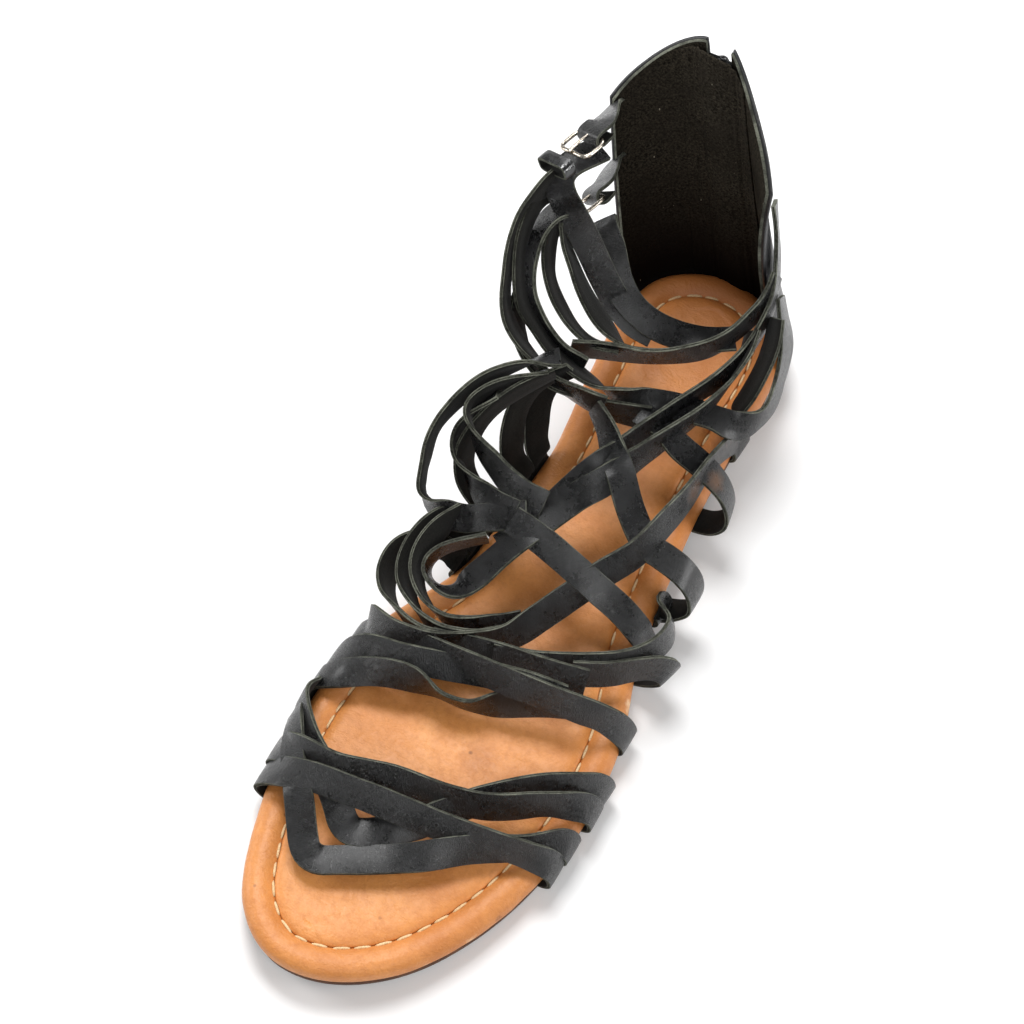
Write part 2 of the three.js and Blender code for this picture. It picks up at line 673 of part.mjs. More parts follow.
function buckleFrame() {
  const { length, height, wire, corner } = BUCKLE;
  const shape = roundedRectangle(length, height, corner);
  shape.holes.push(roundedRectangle(length - 2 * wire, height - 2 * wire, corner - wire + GAP));
  const frame = extrude(shape, wire, 3);
  return frame.translate(0, 0, -wire / 2);
}

// Places round the bar, as rows of x and z, at a radius and a list of angles in degrees.
function aroundBar(radius, angles) {
  return angles.map((angle) => {
    const turn = THREE.MathUtils.degToRad(angle);
    return [BAR_X + radius * Math.cos(turn), radius * Math.sin(turn)];
  });
}

// The prong's path: hooked round the bar, then across the frame to its front wire.
const prongRows = [
  ...aroundBar(PRONG.loop, [-45, -90, -135, 180, 135, 90]),
  [BAR_X + PRONG.straight, PRONG.loop],
  [BUCKLE.length / 2, PRONG.tip],
];

function prongStrip(width, thickness) {
  const guides = prongRows.map(([x, z]) => {
    const hooked = x <= BAR_X + PRONG.loop;
    const face = hooked ? new THREE.Vector3(x - BAR_X, 0, z) : new THREE.Vector3(0, 0, 1);
    return { point: new THREE.Vector3(x, 0, z), face: face.normalize() };
  });
  return strip(guides, width, thickness);
}

// The tab of one buckle: out of the counter's front edge, round the bar and back on the inside.
function buckleTab(buckle) {
  const matrix = buckleMatrix(buckle);
  const rows = [
    [BAR_X - TAB.front, TAB.loop],
    ...aroundBar(TAB.loop, [90, 45, 0, -45, -90]),
    [BAR_X - TAB.fold, -TAB.loop],
  ];
  const root = counterPoint(counterHalves.inner, TAB_ROOT, buckle.tabRise, COUNTER_THICKNESS / 2);
  const guides = rows.map(([x, z]) => ({
    point: new THREE.Vector3(x, 0, z).applyMatrix4(matrix),
    face: new THREE.Vector3(Math.max(x - BAR_X, 0), 0, z).normalize().transformDirection(matrix),
  }));
  const start = { point: root, face: new THREE.Vector3(INNER, 0, 0) };
  const tab = toSolid(strip([start, ...guides], TAB.width, TAB.thickness));
  const slot = prongStrip(PRONG.width + 2 * GAP, PRONG.thickness + 2 * GAP).applyMatrix4(matrix);
  return tab.subtract(toSolid(slot));
}

// Zip: a closed chain between the counter halves, a slider near its top and a pull tab on the slider.
const ZIP_FOOT = 15;
const ZIP_TOP = 114;
const SLIDER_UP = 105;
const SLIDER = { width: 6.8, height: 9, thickness: 4.8, corner: 1.6 };
const CROWN = { radius: 2.7, hole: 1.5, width: 1.4 };
const PULL = { width: 5.2, length: 16, thickness: 1.1, corner: 2, bar: 0.55, eye: 3.2, eyeHalf: 1.3 };
const ZIP_OFFSET = 2 * GAP + COUNTER_THICKNESS / 2;
const CROWN_SINK = 0.2; // how far the crown is let into the slider's face
const CROWN_OUT = SLIDER.thickness / 2 + CROWN.hole - CROWN_SINK;

function zipPoint(up) {
  const heel = outlinePoint(OUTER, 0);
  return place(heel.x - ZIP_OFFSET, heel.y, up).add(leanAt(up));
}

function zipChain() {
  const face = new THREE.Vector3(0, 1, 0);
  const guides = [ZIP_FOOT, COUNTER_LEAN_START, ZIP_TOP].map((up) => ({ point: zipPoint(up), face }));
  return strip(guides, ZIP_WIDTH, ZIP_THICKNESS);
}

// The slider is a sleeve around the chain, drawn as seen from above and extruded along the zip.
function sliderBody() {
  const shape = roundedRectangle(SLIDER.width, SLIDER.thickness, SLIDER.corner);
  shape.holes.push(roundedRectangle(ZIP_WIDTH + 2 * GAP, ZIP_THICKNESS + 2 * GAP, GAP));
  const body = extrude(shape, SLIDER.height, 3);
  body.translate(0, 0, -SLIDER.height / 2);
  const ring = new THREE.Shape();
  ring.absarc(0, 0, CROWN.radius, 0, 2 * Math.PI);
  ring.holes.push(new THREE.Path().absarc(0, 0, CROWN.hole, 0, 2 * Math.PI, true));
  const crown = extrude(ring, CROWN.width, 8);
  crown.translate(0, 0, -CROWN.width / 2).rotateY(Math.PI / 2).translate(0, CROWN_OUT, 0);
  return toGeometry(toSolid(body).add(toSolid(crown)));
}

// The pull tab hangs from its bar, which lies on the joint's axis.
function pullTab() {
  const shape = roundedRectangle(PULL.width, PULL.length, PULL.corner);
  const eye = roundedRectangle(2 * PULL.eyeHalf, PULL.eye, GAP);
  const eyeMiddle = PULL.length / 2 - 2 * PULL.bar - PULL.eye / 2;
  shape.holes.push(new THREE.Path(eye.getPoints(3).map(({ x, y }) => new THREE.Vector2(x, y + eyeMiddle))));
  const tab = extrude(shape, PULL.thickness, 4);
  return tab.translate(0, PULL.bar - PULL.length / 2, -PULL.thickness / 2);
}

// Materials
function material(color, roughness, metalness) {
  return new THREE.MeshStandardMaterial({ color, roughness, metalness });
}
const strapLeather = material("#232326", 0.42, 0);
const suedeLining = material("#241f1c", 0.95, 0);
const tanLeather = material("#c8813f", 0.5, 0);
const tanPanel = material("#d08b49", 0.55, 0);
const brownRubber = material("#5b4331", 0.7, 0);
const silver = material("#c9c4bb", 0.25, 1);
const blackTape = material("#141414", 0.7, 0);

// Sole pieces. Rings run from the underside's middle out and up to the middle of the top.
const outsoleRings = [
  { inset: 14, height: 0 },
  { inset: 1.4, height: 0 },
  { inset: 0.9, height: 0.8 },
  { inset: 0.9, height: OUTSOLE_THICKNESS },
  { inset: 14, height: OUTSOLE_THICKNESS },
];
const footbedRings = [
  { inset: 14, height: GAP },
  { inset: 2.4, height: GAP },
  { inset: 0.6, height: 1.9 },
  { inset: 0, height: 4.2 },
  { inset: 0.8, height: 6.6 },
  { inset: 2.6, height: 7.9 },
  { inset: 5, height: 8.2 },
  { inset: 8.8, height: 7.8 },
  { inset: 9.1, height: 5.9 },
  { inset: 14, height: 5.7 },
];
const sockRings = [
  { inset: 14, height: 6 },
  { inset: 9.5, height: 6.2 },
  { inset: 9.6, height: 7.4 },
  { inset: 11.5, height: 7.9 },
  { inset: 14, height: 7.8 },
];
const LIFT_INSET = 1.6;
const LIFT_DRAFT = 0.5;
const LIFT_HEIGHT = soleUnder(0) - GAP;
const heelLiftRings = [
  { inset: 14, height: 0 },
  { inset: LIFT_INSET, height: 0 },
  { inset: LIFT_INSET - LIFT_DRAFT, height: LIFT_HEIGHT },
  { inset: 14, height: LIFT_HEIGHT },
];

function heelLift() {
  const whole = toSolid(soleLayer(heelLiftRings, () => 0));
  const keep = new THREE.BoxGeometry(SOLE_LENGTH, SOLE_LENGTH, SOLE_LENGTH);
  keep.translate(0, HEEL_BACK - HEEL_LIFT_FRONT + SOLE_LENGTH / 2, 0);
  return toGeometry(whole.intersect(toSolid(keep)));
}

function footbed() {
  const whole = toSolid(soleLayer(footbedRings, soleJoint));
  return toGeometry(tailPockets.reduce((solid, pocket) => solid.subtract(pocket), whole));
}

const group = new THREE.Group();
group.add(
  meshOf("heel_lift", heelLift(), brownRubber),
  meshOf("outsole", soleLayer(outsoleRings, soleUnder), brownRubber),
  meshOf("footbed", footbed(), tanLeather),
  meshOf("sock_lining", soleLayer(sockRings, soleJoint), tanPanel),
  meshOf("strap_upper", toGeometry(strapSolids.reduce((whole, strap) => whole.add(strap))), strapLeather),
);

const tabs = Object.values(buckles).map(buckleTab);
const innerHalf = tabs.reduce((half, tab) => half.add(tab), toSolid(counterHalf(counterHalves.inner)));
group.add(
  meshOf("counter_inner_half", toGeometry(innerHalf), suedeLining),
  meshOf("counter_outer_half", counterHalf(counterHalves.outer), suedeLining),
  meshOf("zip_chain", zipChain(), blackTape),
);

Object.entries(buckles).forEach(([name, buckle]) => {
  const stand = new THREE.Group();
  stand.applyMatrix4(buckleMatrix(buckle));
  stand.add(
    meshOf(`buckle_${name}_frame`, buckleFrame(), silver),
    meshOf(`buckle_${name}_prong`, prongStrip(PRONG.width, PRONG.thickness), silver),
  );
  group.add(stand);
});

// The slider's local z runs up the leaning zip and its y points backward, out of the shoe.
const zipUp = zipPoint(ZIP_TOP).sub(zipPoint(COUNTER_LEAN_START)).normalize();
const zipAcross = new THREE.Vector3(0, 1, 0).cross(zipUp).normalize();
const zipOut = zipUp.clone().cross(zipAcross);
const zipStand = new THREE.Group();
const zipMatrix = new THREE.Matrix4().makeBasis(zipAcross, zipOut, zipUp);
zipStand.applyMatrix4(zipMatrix.setPosition(zipPoint(SLIDER_UP)));
const pull = meshOf("zip_pull_tab", pullTab(), silver);
pull.position.set(0, CROWN_OUT, 0);
pull.rotation.x = Math.PI / 2;
zipStand.add(meshOf("zip_slider", sliderBody(), silver), pull);
group.add(zipStand);

export default group;
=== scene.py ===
"""Looks of the left gladiator sandal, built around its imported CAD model.

Shapes are worked out in millimetres from the same tables as the CAD model and stored in metres.
Places are given as along (from the back of the heel towards the toe), across (positive to the outer
side) and up (from the floor). In the CAD model's frame x = across, y = HEEL_BACK - along, z = up.
"""

import math

import bmesh
import bpy
import numpy as np
from mathutils import Matrix, Vector, noise


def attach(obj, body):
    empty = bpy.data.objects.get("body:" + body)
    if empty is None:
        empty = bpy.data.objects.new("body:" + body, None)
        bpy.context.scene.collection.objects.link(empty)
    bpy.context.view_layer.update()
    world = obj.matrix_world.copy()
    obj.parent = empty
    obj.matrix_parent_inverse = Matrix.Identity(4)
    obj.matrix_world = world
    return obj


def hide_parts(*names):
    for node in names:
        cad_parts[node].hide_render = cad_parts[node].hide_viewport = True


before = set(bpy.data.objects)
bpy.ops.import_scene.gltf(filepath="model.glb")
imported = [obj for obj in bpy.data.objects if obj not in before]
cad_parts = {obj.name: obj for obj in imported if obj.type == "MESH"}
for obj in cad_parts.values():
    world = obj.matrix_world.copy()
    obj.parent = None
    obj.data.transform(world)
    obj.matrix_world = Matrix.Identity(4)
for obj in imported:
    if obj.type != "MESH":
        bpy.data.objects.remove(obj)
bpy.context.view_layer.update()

MM = 0.001
OUTER, INNER = 1, -1

# Driving dimensions, as in the CAD model
SOLE_LENGTH = 256
HEEL_BACK = 32
GAP = 0.3
OUTSOLE_THICKNESS = 3
HEEL_LIFT_FRONT = 60
STRAP_WIDTH = 8.6
STRAP_THICKNESS = 1.8
TAIL_REACH = 9
TAIL_BEND = 1.4
COUNTER_THICKNESS = 2.2
COUNTER_TOP = 118
COUNTER_CORNER = 91
ZIP_HALF_OPENING = 3.9
HEEL_ROUNDNESS = 60
TOE_ROUNDNESS = 56
TOE_MIDDLE = -6

OUTLINE_ROWS = (  # along, middle of the width, half the width
    (8, -1, 19.5), (23, -1, 26), (51, 0.5, 25.5), (84, 3.5, 24.5), (120, 4.5, 28.5),
    (154, 2.5, 40.5), (179, 1.5, 43.5), (205, 0.5, 40.5), (228, -1, 33), (246, -3.5, 21.5),
)
SOLE_ROWS = (  # along, height of the outsole's underside
    (0, 6), (64, 6), (88, 6.2), (112, 4.2), (134, 1.4), (152, 0), (206, 0), (230, 1), (246, 2.6), (256, 4),
)


def between(xs, ys, x):
    """Smooth value between table rows with no overshoot, so that equal rows give a level stretch."""
    if x <= xs[0]:
        return ys[0]
    if x >= xs[-1]:
        return ys[-1]
    i = max(j for j in range(len(xs) - 1) if xs[j] <= x)
    slopes = [(ys[j + 1] - ys[j]) / (xs[j + 1] - xs[j]) for j in range(len(xs) - 1)]

    def bend(j):
        if j in (0, len(xs) - 1):
            return slopes[0 if j == 0 else -1]
        before, after = slopes[j - 1], slopes[j]
        return 0 if before * after <= 0 else 2 * before * after / (before + after)

    span = xs[i + 1] - xs[i]
    t = (x - xs[i]) / span
    a, b, da, db = ys[i], ys[i + 1], bend(i) * span, bend(i + 1) * span
    return a + t * (da + t * (3 * (b - a) - 2 * da - db + t * (da + db - 2 * (b - a))))


def outline_angle(along):
    return math.acos(1 - 2 * along / SOLE_LENGTH)


ANGLES = [0, *[outline_angle(row[0]) for row in OUTLINE_ROWS], math.pi]
MIDDLES = [OUTLINE_ROWS[0][1], *[row[1] for row in OUTLINE_ROWS], TOE_MIDDLE]
ROUNDNESSES = [
    HEEL_ROUNDNESS,
    *[half / math.sin(outline_angle(along)) for along, _, half in OUTLINE_ROWS],
    TOE_ROUNDNESS,
]


def outline_point(side, angle, offset=0.0):
    """(along, across) of the outline on one side, moved out by an offset square to it."""

    def plain(a):
        half = between(ANGLES, ROUNDNESSES, abs(a)) * math.sin(a)
        return np.array([SOLE_LENGTH / 2 * (1 - math.cos(a)), between(ANGLES, MIDDLES, abs(a)) + side * half])

    point = plain(angle)
    if offset:
        run = plain(min(angle + 0.02, math.pi)) - plain(angle - 0.02)
        run /= np.linalg.norm(run)
        point = point + offset * np.array([-side * run[1], side * run[0]])
    return point


def sole_under(along):
    return between([row[0] for row in SOLE_ROWS], [row[1] for row in SOLE_ROWS], along)


def sole_joint(along):
    return sole_under(along) + OUTSOLE_THICKNESS


def place(along, across, up):
    return np.array([across, HEEL_BACK - along, up], float)


def unit(v):
    return v / max(np.linalg.norm(v), 1e-9)


# ---------------------------------------------------------------- meshes
def make_piece(name, points, faces, materials, face_materials, uvs, body):
    """A smooth mesh piece from millimetre points. uvs holds one (u, v) for each point."""
    mesh = bpy.data.meshes.new(name)
    mesh.from_pydata([tuple(p) for p in np.asarray(points) * MM], [], [tuple(map(int, f)) for f in faces])
    for material in materials:
        mesh.materials.append(material)
    mesh.polygons.foreach_set("material_index", np.asarray(face_materials, np.int32))
    layer = mesh.uv_layers.new(name="along_across")
    corners = np.zeros(len(mesh.loops), np.int32)
    mesh.loops.foreach_get("vertex_index", corners)
    layer.data.foreach_set("uv", np.asarray(uvs, np.float32)[corners].ravel())
    whole = bmesh.new()
    whole.from_mesh(mesh)
    bmesh.ops.remove_doubles(whole, verts=whole.verts, dist=0.001 * MM)
    for edge in whole.edges:
        if len({face.material_index for face in edge.link_faces}) > 1:
            edge.smooth = False
    whole.to_mesh(mesh)
    whole.free()
    mesh.polygons.foreach_set("use_smooth", np.full(len(mesh.polygons), True))
    mesh.validate()
    piece = bpy.data.objects.new(name, mesh)
    bpy.context.scene.collection.objects.link(piece)
    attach(piece, body)
    return piece


class Shape:
    """Points, faces, face materials and uvs gathered from several parts."""

    def __init__(self):
        self.points, self.faces, self.marks, self.uvs = [], [], [], []

    def add(self, points, faces, marks, uvs=None):
        start = len(self.points)
        self.points.extend(points)
        self.faces.extend(tuple(start + i for i in face) for face in faces)
        self.marks.extend([marks] * len(faces) if isinstance(marks, int) else marks)
        self.uvs.extend(uvs if uvs is not None else [(0.0, 0.0)] * len(points))

    def piece(self, name, materials, body="shoe"):
        return make_piece(name, self.points, self.faces, materials, self.marks, self.uvs, body)


def tube_faces(rings, around, closed_ends=True):
    """Quads of a tube of rings of points. Rings run on, and points go round."""
    faces = []
    for ring in range(rings - 1):
        for i in range(around):
            a, b = ring * around + i, ring * around + (i + 1) % around
            faces.append((a, a + around, b + around, b))
    if closed_ends:
        faces.append(tuple(range(around)))
        faces.append(tuple(reversed(range((rings - 1) * around, rings * around))))
    return faces


def loop_faces(rings, around):
    """Quads of a tube whose last ring runs on into its first."""
    last = (rings - 1) * around
    closing = [(last + i, i, (i + 1) % around, last + (i + 1) % around) for i in range(around)]
    return tube_faces(rings, around, closed_ends=False) + closing


def grid_faces(columns, rows, flipped):
    """Quads of a grid of (columns + 1) by (rows + 1) points."""
    faces = []
    for row in range(rows):
        for column in range(columns):
            a = row * (columns + 1) + column
            face = (a, a + 1, a + columns + 2, a + columns + 1)
            faces.append(face[::-1] if flipped else face)
    return faces


def catmull_rom(points, steps_of):
    """Centripetal curve through the points. Returns the samples and each one's time."""
    points = np.asarray(points, float)
    ends = [2 * points[0] - points[1], *points, 2 * points[-1] - points[-2]]
    samples, times = [], []
    for i in range(len(points) - 1):
        p0, p1, p2, p3 = ends[i : i + 4]
        t0 = 0.0
        t1 = t0 + max(np.linalg.norm(p1 - p0), 1e-6) ** 0.5
        t2 = t1 + max(np.linalg.norm(p2 - p1), 1e-6) ** 0.5
        t3 = t2 + max(np.linalg.norm(p3 - p2), 1e-6) ** 0.5
        steps = max(1, math.ceil(np.linalg.norm(p2 - p1) / steps_of))
        for k in range(steps):
            t = t1 + (t2 - t1) * k / steps
            a1 = (t1 - t) / (t1 - t0) * p0 + (t - t0) / (t1 - t0) * p1
            a2 = (t2 - t) / (t2 - t1) * p1 + (t - t1) / (t2 - t1) * p2
            a3 = (t3 - t) / (t3 - t2) * p2 + (t - t2) / (t3 - t2) * p3
            b1 = (t2 - t) / (t2 - t0) * a1 + (t - t0) / (t2 - t0) * a2
            b2 = (t3 - t) / (t3 - t1) * a2 + (t - t1) / (t3 - t1) * a3
            samples.append((t2 - t) / (t2 - t1) * b1 + (t - t1) / (t2 - t1) * b2)
            times.append(i + k / steps)
    samples.append(points[-1])
    times.append(float(len(points) - 1))
    return np.array(samples), np.array(times)


def smoothed(rows, passes):
    """Rows averaged with their neighbours. The first and last rows stay."""
    rows = rows.copy()
    for _ in range(passes):
        rows[1:-1] = (rows[:-2] + 2 * rows[1:-1] + rows[2:]) / 4
    return rows


def strip_frames(guides, step, eased=False, middle_passes=0, out_passes=3, run_passes=0):
    """Places along a strip through (point, face) guides: middle, run, way across, way out, distance."""
    points, faces = (np.array(column) for column in zip(*guides))
    middle, times = catmull_rom(points, step)
    index = np.minimum(times.astype(int), len(faces) - 2)
    share = (times - index)[:, None]
    if eased:
        share = share * share * (3 - 2 * share)
    out = smoothed(faces[index] * (1 - share) + faces[index + 1] * share, out_passes)
    middle = smoothed(middle, middle_passes)
    run = np.gradient(middle, axis=0)
    run /= np.linalg.norm(run, axis=1)[:, None]
    run = smoothed(run, run_passes)
    out -= (out * run).sum(1)[:, None] * run
    out /= np.linalg.norm(out, axis=1)[:, None]
    reach = np.concatenate([[0], np.cumsum(np.linalg.norm(np.diff(middle, axis=0), axis=1))])
    return middle, run, np.cross(run, out), out, reach


# ---------------------------------------------------------------- materials
class Paint:
    """A node material being put together around one Principled shader."""

    def __init__(self, name, **plain):
        self.material = bpy.data.materials.new(name)
        self.material.use_nodes = True
        self.tree = self.material.node_tree
        self.shader = self.tree.nodes["Principled BSDF"]
        for socket, value in plain.items():
            self.shader.inputs[socket.replace("_", " ")].default_value = value
        self.here = self.tree.nodes.new("ShaderNodeTexCoord").outputs["Object"]

    def give(self, socket, value):
        if isinstance(value, bpy.types.NodeSocket):
            self.tree.links.new(value, socket)
        else:
            socket.default_value = value

    def node(self, kind, inputs, **settings):
        made = self.tree.nodes.new(kind)
        for key, value in settings.items():
            setattr(made, key, value)
        for key, value in inputs.items():
            self.give(made.inputs[key], value)
        return made

    def scaled(self, scale, vector=None):
        inputs = {"Vector": vector or self.here, "Scale": scale}
        return self.node("ShaderNodeMapping", inputs).outputs["Vector"]

    def strip(self, scale):
        vector = self.node("ShaderNodeUVMap", {}, uv_map="along_across").outputs["UV"]
        return self.scaled(scale, vector)

    def noise(self, size, detail=3.0, roughness=0.55, vector=None, distortion=0.0):
        """Cloudy values from 0 to 1 with features of about that size in millimetres."""
        scale = 1000 / size if vector is None else 1 / size
        inputs = {"Vector": vector or self.here, "Scale": scale, "Detail": detail, "Roughness": roughness}
        inputs["Distortion"] = distortion
        return self.node("ShaderNodeTexNoise", inputs).outputs["Fac"]

    def cells(self, size, vector=None):
        """Distance to the nearest of scattered spots about that far apart."""
        scale = 1000 / size if vector is None else 1 / size
        inputs = {"Vector": vector or self.here, "Scale": scale}
        return self.node("ShaderNodeTexVoronoi", inputs).outputs["Distance"]

    def waves(self, direction, scale, distortion, vector=None, detail=2.0, detail_scale=1.0):
        inputs = {"Vector": vector or self.here, "Scale": scale, "Distortion": distortion}
        inputs |= {"Detail": detail, "Detail Scale": detail_scale}
        return self.node("ShaderNodeTexWave", inputs, bands_direction=direction).outputs["Fac"]

    def span(self, value, low, high, to_low=0.0, to_high=1.0):
        inputs = {"Value": value, "From Min": low, "From Max": high, "To Min": to_low, "To Max": to_high}
        return self.node("ShaderNodeMapRange", inputs).outputs["Result"]

    def math(self, operation, a, b=0.0):
        return self.node("ShaderNodeMath", {0: a, 1: b}, operation=operation).outputs[0]

    def mix(self, share, a, b):
        made = self.tree.nodes.new("ShaderNodeMix")
        made.data_type = "RGBA"
        self.give(made.inputs[0], share)
        self.give(made.inputs[6], a)
        self.give(made.inputs[7], b)
        return made.outputs[2]

    def over(self, base, share, strength, colour):
        """The base colour with another laid over it, as far as share times strength."""
        return self.mix(self.math("MULTIPLY", share, strength), base, colour)

    def part(self, vector, axis):
        return self.node("ShaderNodeSeparateXYZ", {0: vector}).outputs[axis]

    def near(self, spots, warp):
        """1 at each spot (along, across, up, radius in mm) and 0 past its radius, with a ragged edge."""
        shift = self.noise(2.2, detail=2)
        reach = None
        for along, across, up, radius in spots:
            at = [c * MM for c in place(along, across, up)]
            measure = self.node("ShaderNodeVectorMath", {0: self.here, 1: at}, operation="DISTANCE")
            wander = self.math("MULTIPLY", self.math("SUBTRACT", shift, 0.5), warp * MM)
            apart = self.math("ADD", measure.outputs["Value"], wander)
            share = self.span(apart, radius * MM, radius * MM * 0.35)
            reach = share if reach is None else self.math("MAXIMUM", reach, share)
        return reach

    def color(self, value):
        self.give(self.shader.inputs["Base Color"], value)

    def rough(self, value):
        self.give(self.shader.inputs["Roughness"], value)

    def bump(self, height, distance, strength=1.0, below=None):
        """Relief of height values 0 to 1 over a distance in millimetres."""
        inputs = {"Height": height, "Distance": distance * MM, "Strength": strength}
        if below is not None:
            inputs["Normal"] = below
        made = self.node("ShaderNodeBump", inputs).outputs["Normal"]
        self.give(self.shader.inputs["Normal"], made)
        return made


def shade(red, green, blue):
    """A colour given as it looks on a screen, from 0 to 255, turned into light."""
    steps = [c / 255 for c in (red, green, blue)]
    return (*[c / 12.92 if c <= 10 / 255 else ((c + 0.055) / 1.055) ** 2.4 for c in steps], 1.0)


def strap_top_paint():
    """Satin black faux leather with a mottled grey bloom, fine grain, cross creases and scuffs."""
    paint = Paint("strap_face", Specular_IOR_Level=0.8, Coat_Weight=0.25, Coat_Roughness=0.24)
    cloud = paint.noise(9, detail=5, roughness=0.62)
    fine = paint.noise(1.3, detail=4, roughness=0.6)
    streaks = paint.noise(0.35, detail=4, vector=paint.strip((1, 12, 1)))
    base = paint.mix(paint.span(cloud, 0.38, 0.64), shade(4, 4, 5), shade(15, 16, 18))
    base = paint.over(base, paint.span(fine, 0.5, 0.72), 0.5, shade(44, 46, 47))
    patches = paint.span(paint.noise(4.4, detail=4), 0.56, 0.7)
    scuffs = paint.math("MULTIPLY", patches, paint.span(streaks, 0.35, 0.75))
    base = paint.over(base, scuffs, 0.4, shade(84, 86, 84))
    tan = paint.near(TAN_SMUDGES, warp=3)
    base = paint.over(base, tan, 0.5, shade(150, 104, 66))
    paint.color(base)
    smooth = paint.span(cloud, 0.36, 0.64, 0.14, 0.4)
    paint.rough(paint.math("ADD", smooth, paint.span(fine, 0.4, 0.7, 0, 0.12)))
    grain = paint.bump(paint.cells(0.55), 0.05)
    creases = paint.noise(0.16, detail=3, vector=paint.strip((1, 0.12, 1)))
    paint.bump(paint.math("ADD", paint.span(creases, 0.35, 0.65), paint.noise(6, detail=4)), 0.7, below=grain)
    return paint.material


def strap_back_paint():
    """Grey suede-like back of a strap, darkened to near black as painted shade of the straps' inner sides."""
    sheen = {"Sheen_Weight": 0.06, "Sheen_Roughness": 0.6}
    paint = Paint("strap_back", Specular_IOR_Level=0.1, Roughness=0.95, **sheen)
    nap = paint.noise(0.5, detail=5, roughness=0.75)
    cloud = paint.noise(7, detail=3)
    # Far darker than the back's own grey: painted shade
    base = paint.mix(paint.span(nap, 0.35, 0.72), shade(9, 9, 8), shade(36, 35, 31))
    paint.color(paint.over(base, paint.span(cloud, 0.4, 0.7), 0.5, shade(22, 21, 19)))
    paint.bump(nap, 0.12)
    return paint.material


def cut_edge_paint():
    """Raw cut edge: light grey-olive fibre with darker stretches and specks."""
    paint = Paint("cut_edge", Specular_IOR_Level=0.2, Roughness=0.85)
    cloud = paint.noise(6, detail=4, roughness=0.65)
    fibre = paint.noise(0.45, detail=4, roughness=0.7)
    base = paint.mix(paint.span(cloud, 0.36, 0.62), shade(52, 53, 47), shade(112, 114, 102))
    base = paint.mix(paint.span(fibre, 0.5, 0.72), base, shade(24, 25, 22))
    paint.color(base)
    paint.bump(fibre, 0.1)
    return paint.material


def edge_core_paint():
    """Dark backing seen between the two pale lines of a cut edge."""
    paint = Paint("edge_core", Specular_IOR_Level=0.1, Roughness=0.95)
    fibre = paint.noise(0.8, detail=5, roughness=0.7)
    paint.color(paint.mix(paint.span(fibre, 0.4, 0.7), shade(30, 30, 26), shade(84, 85, 76)))
    paint.bump(fibre, 0.1)
    return paint.material


def counter_outside_paint():
    """Smooth black faux leather of the counter's outside."""
    paint = Paint("counter_outside", Specular_IOR_Level=0.6)
    cloud = paint.noise(14, detail=5, roughness=0.6)
    fine = paint.noise(1.5, detail=4)
    base = paint.mix(paint.span(cloud, 0.35, 0.68), shade(12, 12, 14), shade(28, 28, 31))
    paint.color(paint.over(base, paint.span(fine, 0.55, 0.75), 0.4, shade(48, 48, 50)))
    paint.rough(paint.span(cloud, 0.3, 0.7, 0.32, 0.48))
    grain = paint.bump(paint.cells(0.6), 0.05)
    paint.bump(paint.noise(6, detail=3), 0.3, below=grain)
    return paint.material


def lining_paint():
    """Brown-black suede lining: napped, cloudy, dotted with pale fibres, darkened towards the foot by painted
    shade.
    """
    paint = Paint("suede_lining", Specular_IOR_Level=0.05, Roughness=1.0)
    nap = paint.noise(0.7, detail=6, roughness=0.8)
    cloud = paint.noise(13, detail=4, roughness=0.6)
    base = paint.mix(paint.span(nap, 0.4, 0.64), shade(15, 13, 10), shade(66, 61, 52))
    base = paint.over(base, paint.span(cloud, 0.42, 0.66), 0.55, shade(40, 36, 31))
    # Darker towards the foot: painted shade at the bottom of the counter
    height = paint.part(paint.here, "Z")
    base = paint.mix(paint.span(height, 0.062, 0.022), base, shade(14, 9, 7))
    fibre = paint.cells(2.6, vector=paint.scaled((1000, 1000, 350)))
    keep = paint.span(paint.noise(5, detail=2), 0.56, 0.6)
    specks = paint.math("MULTIPLY", paint.span(fibre, 0.085, 0.05), keep)
    paint.color(paint.over(base, specks, 0.75, shade(168, 160, 142)))
    paint.bump(nap, 0.2)
    return paint.material


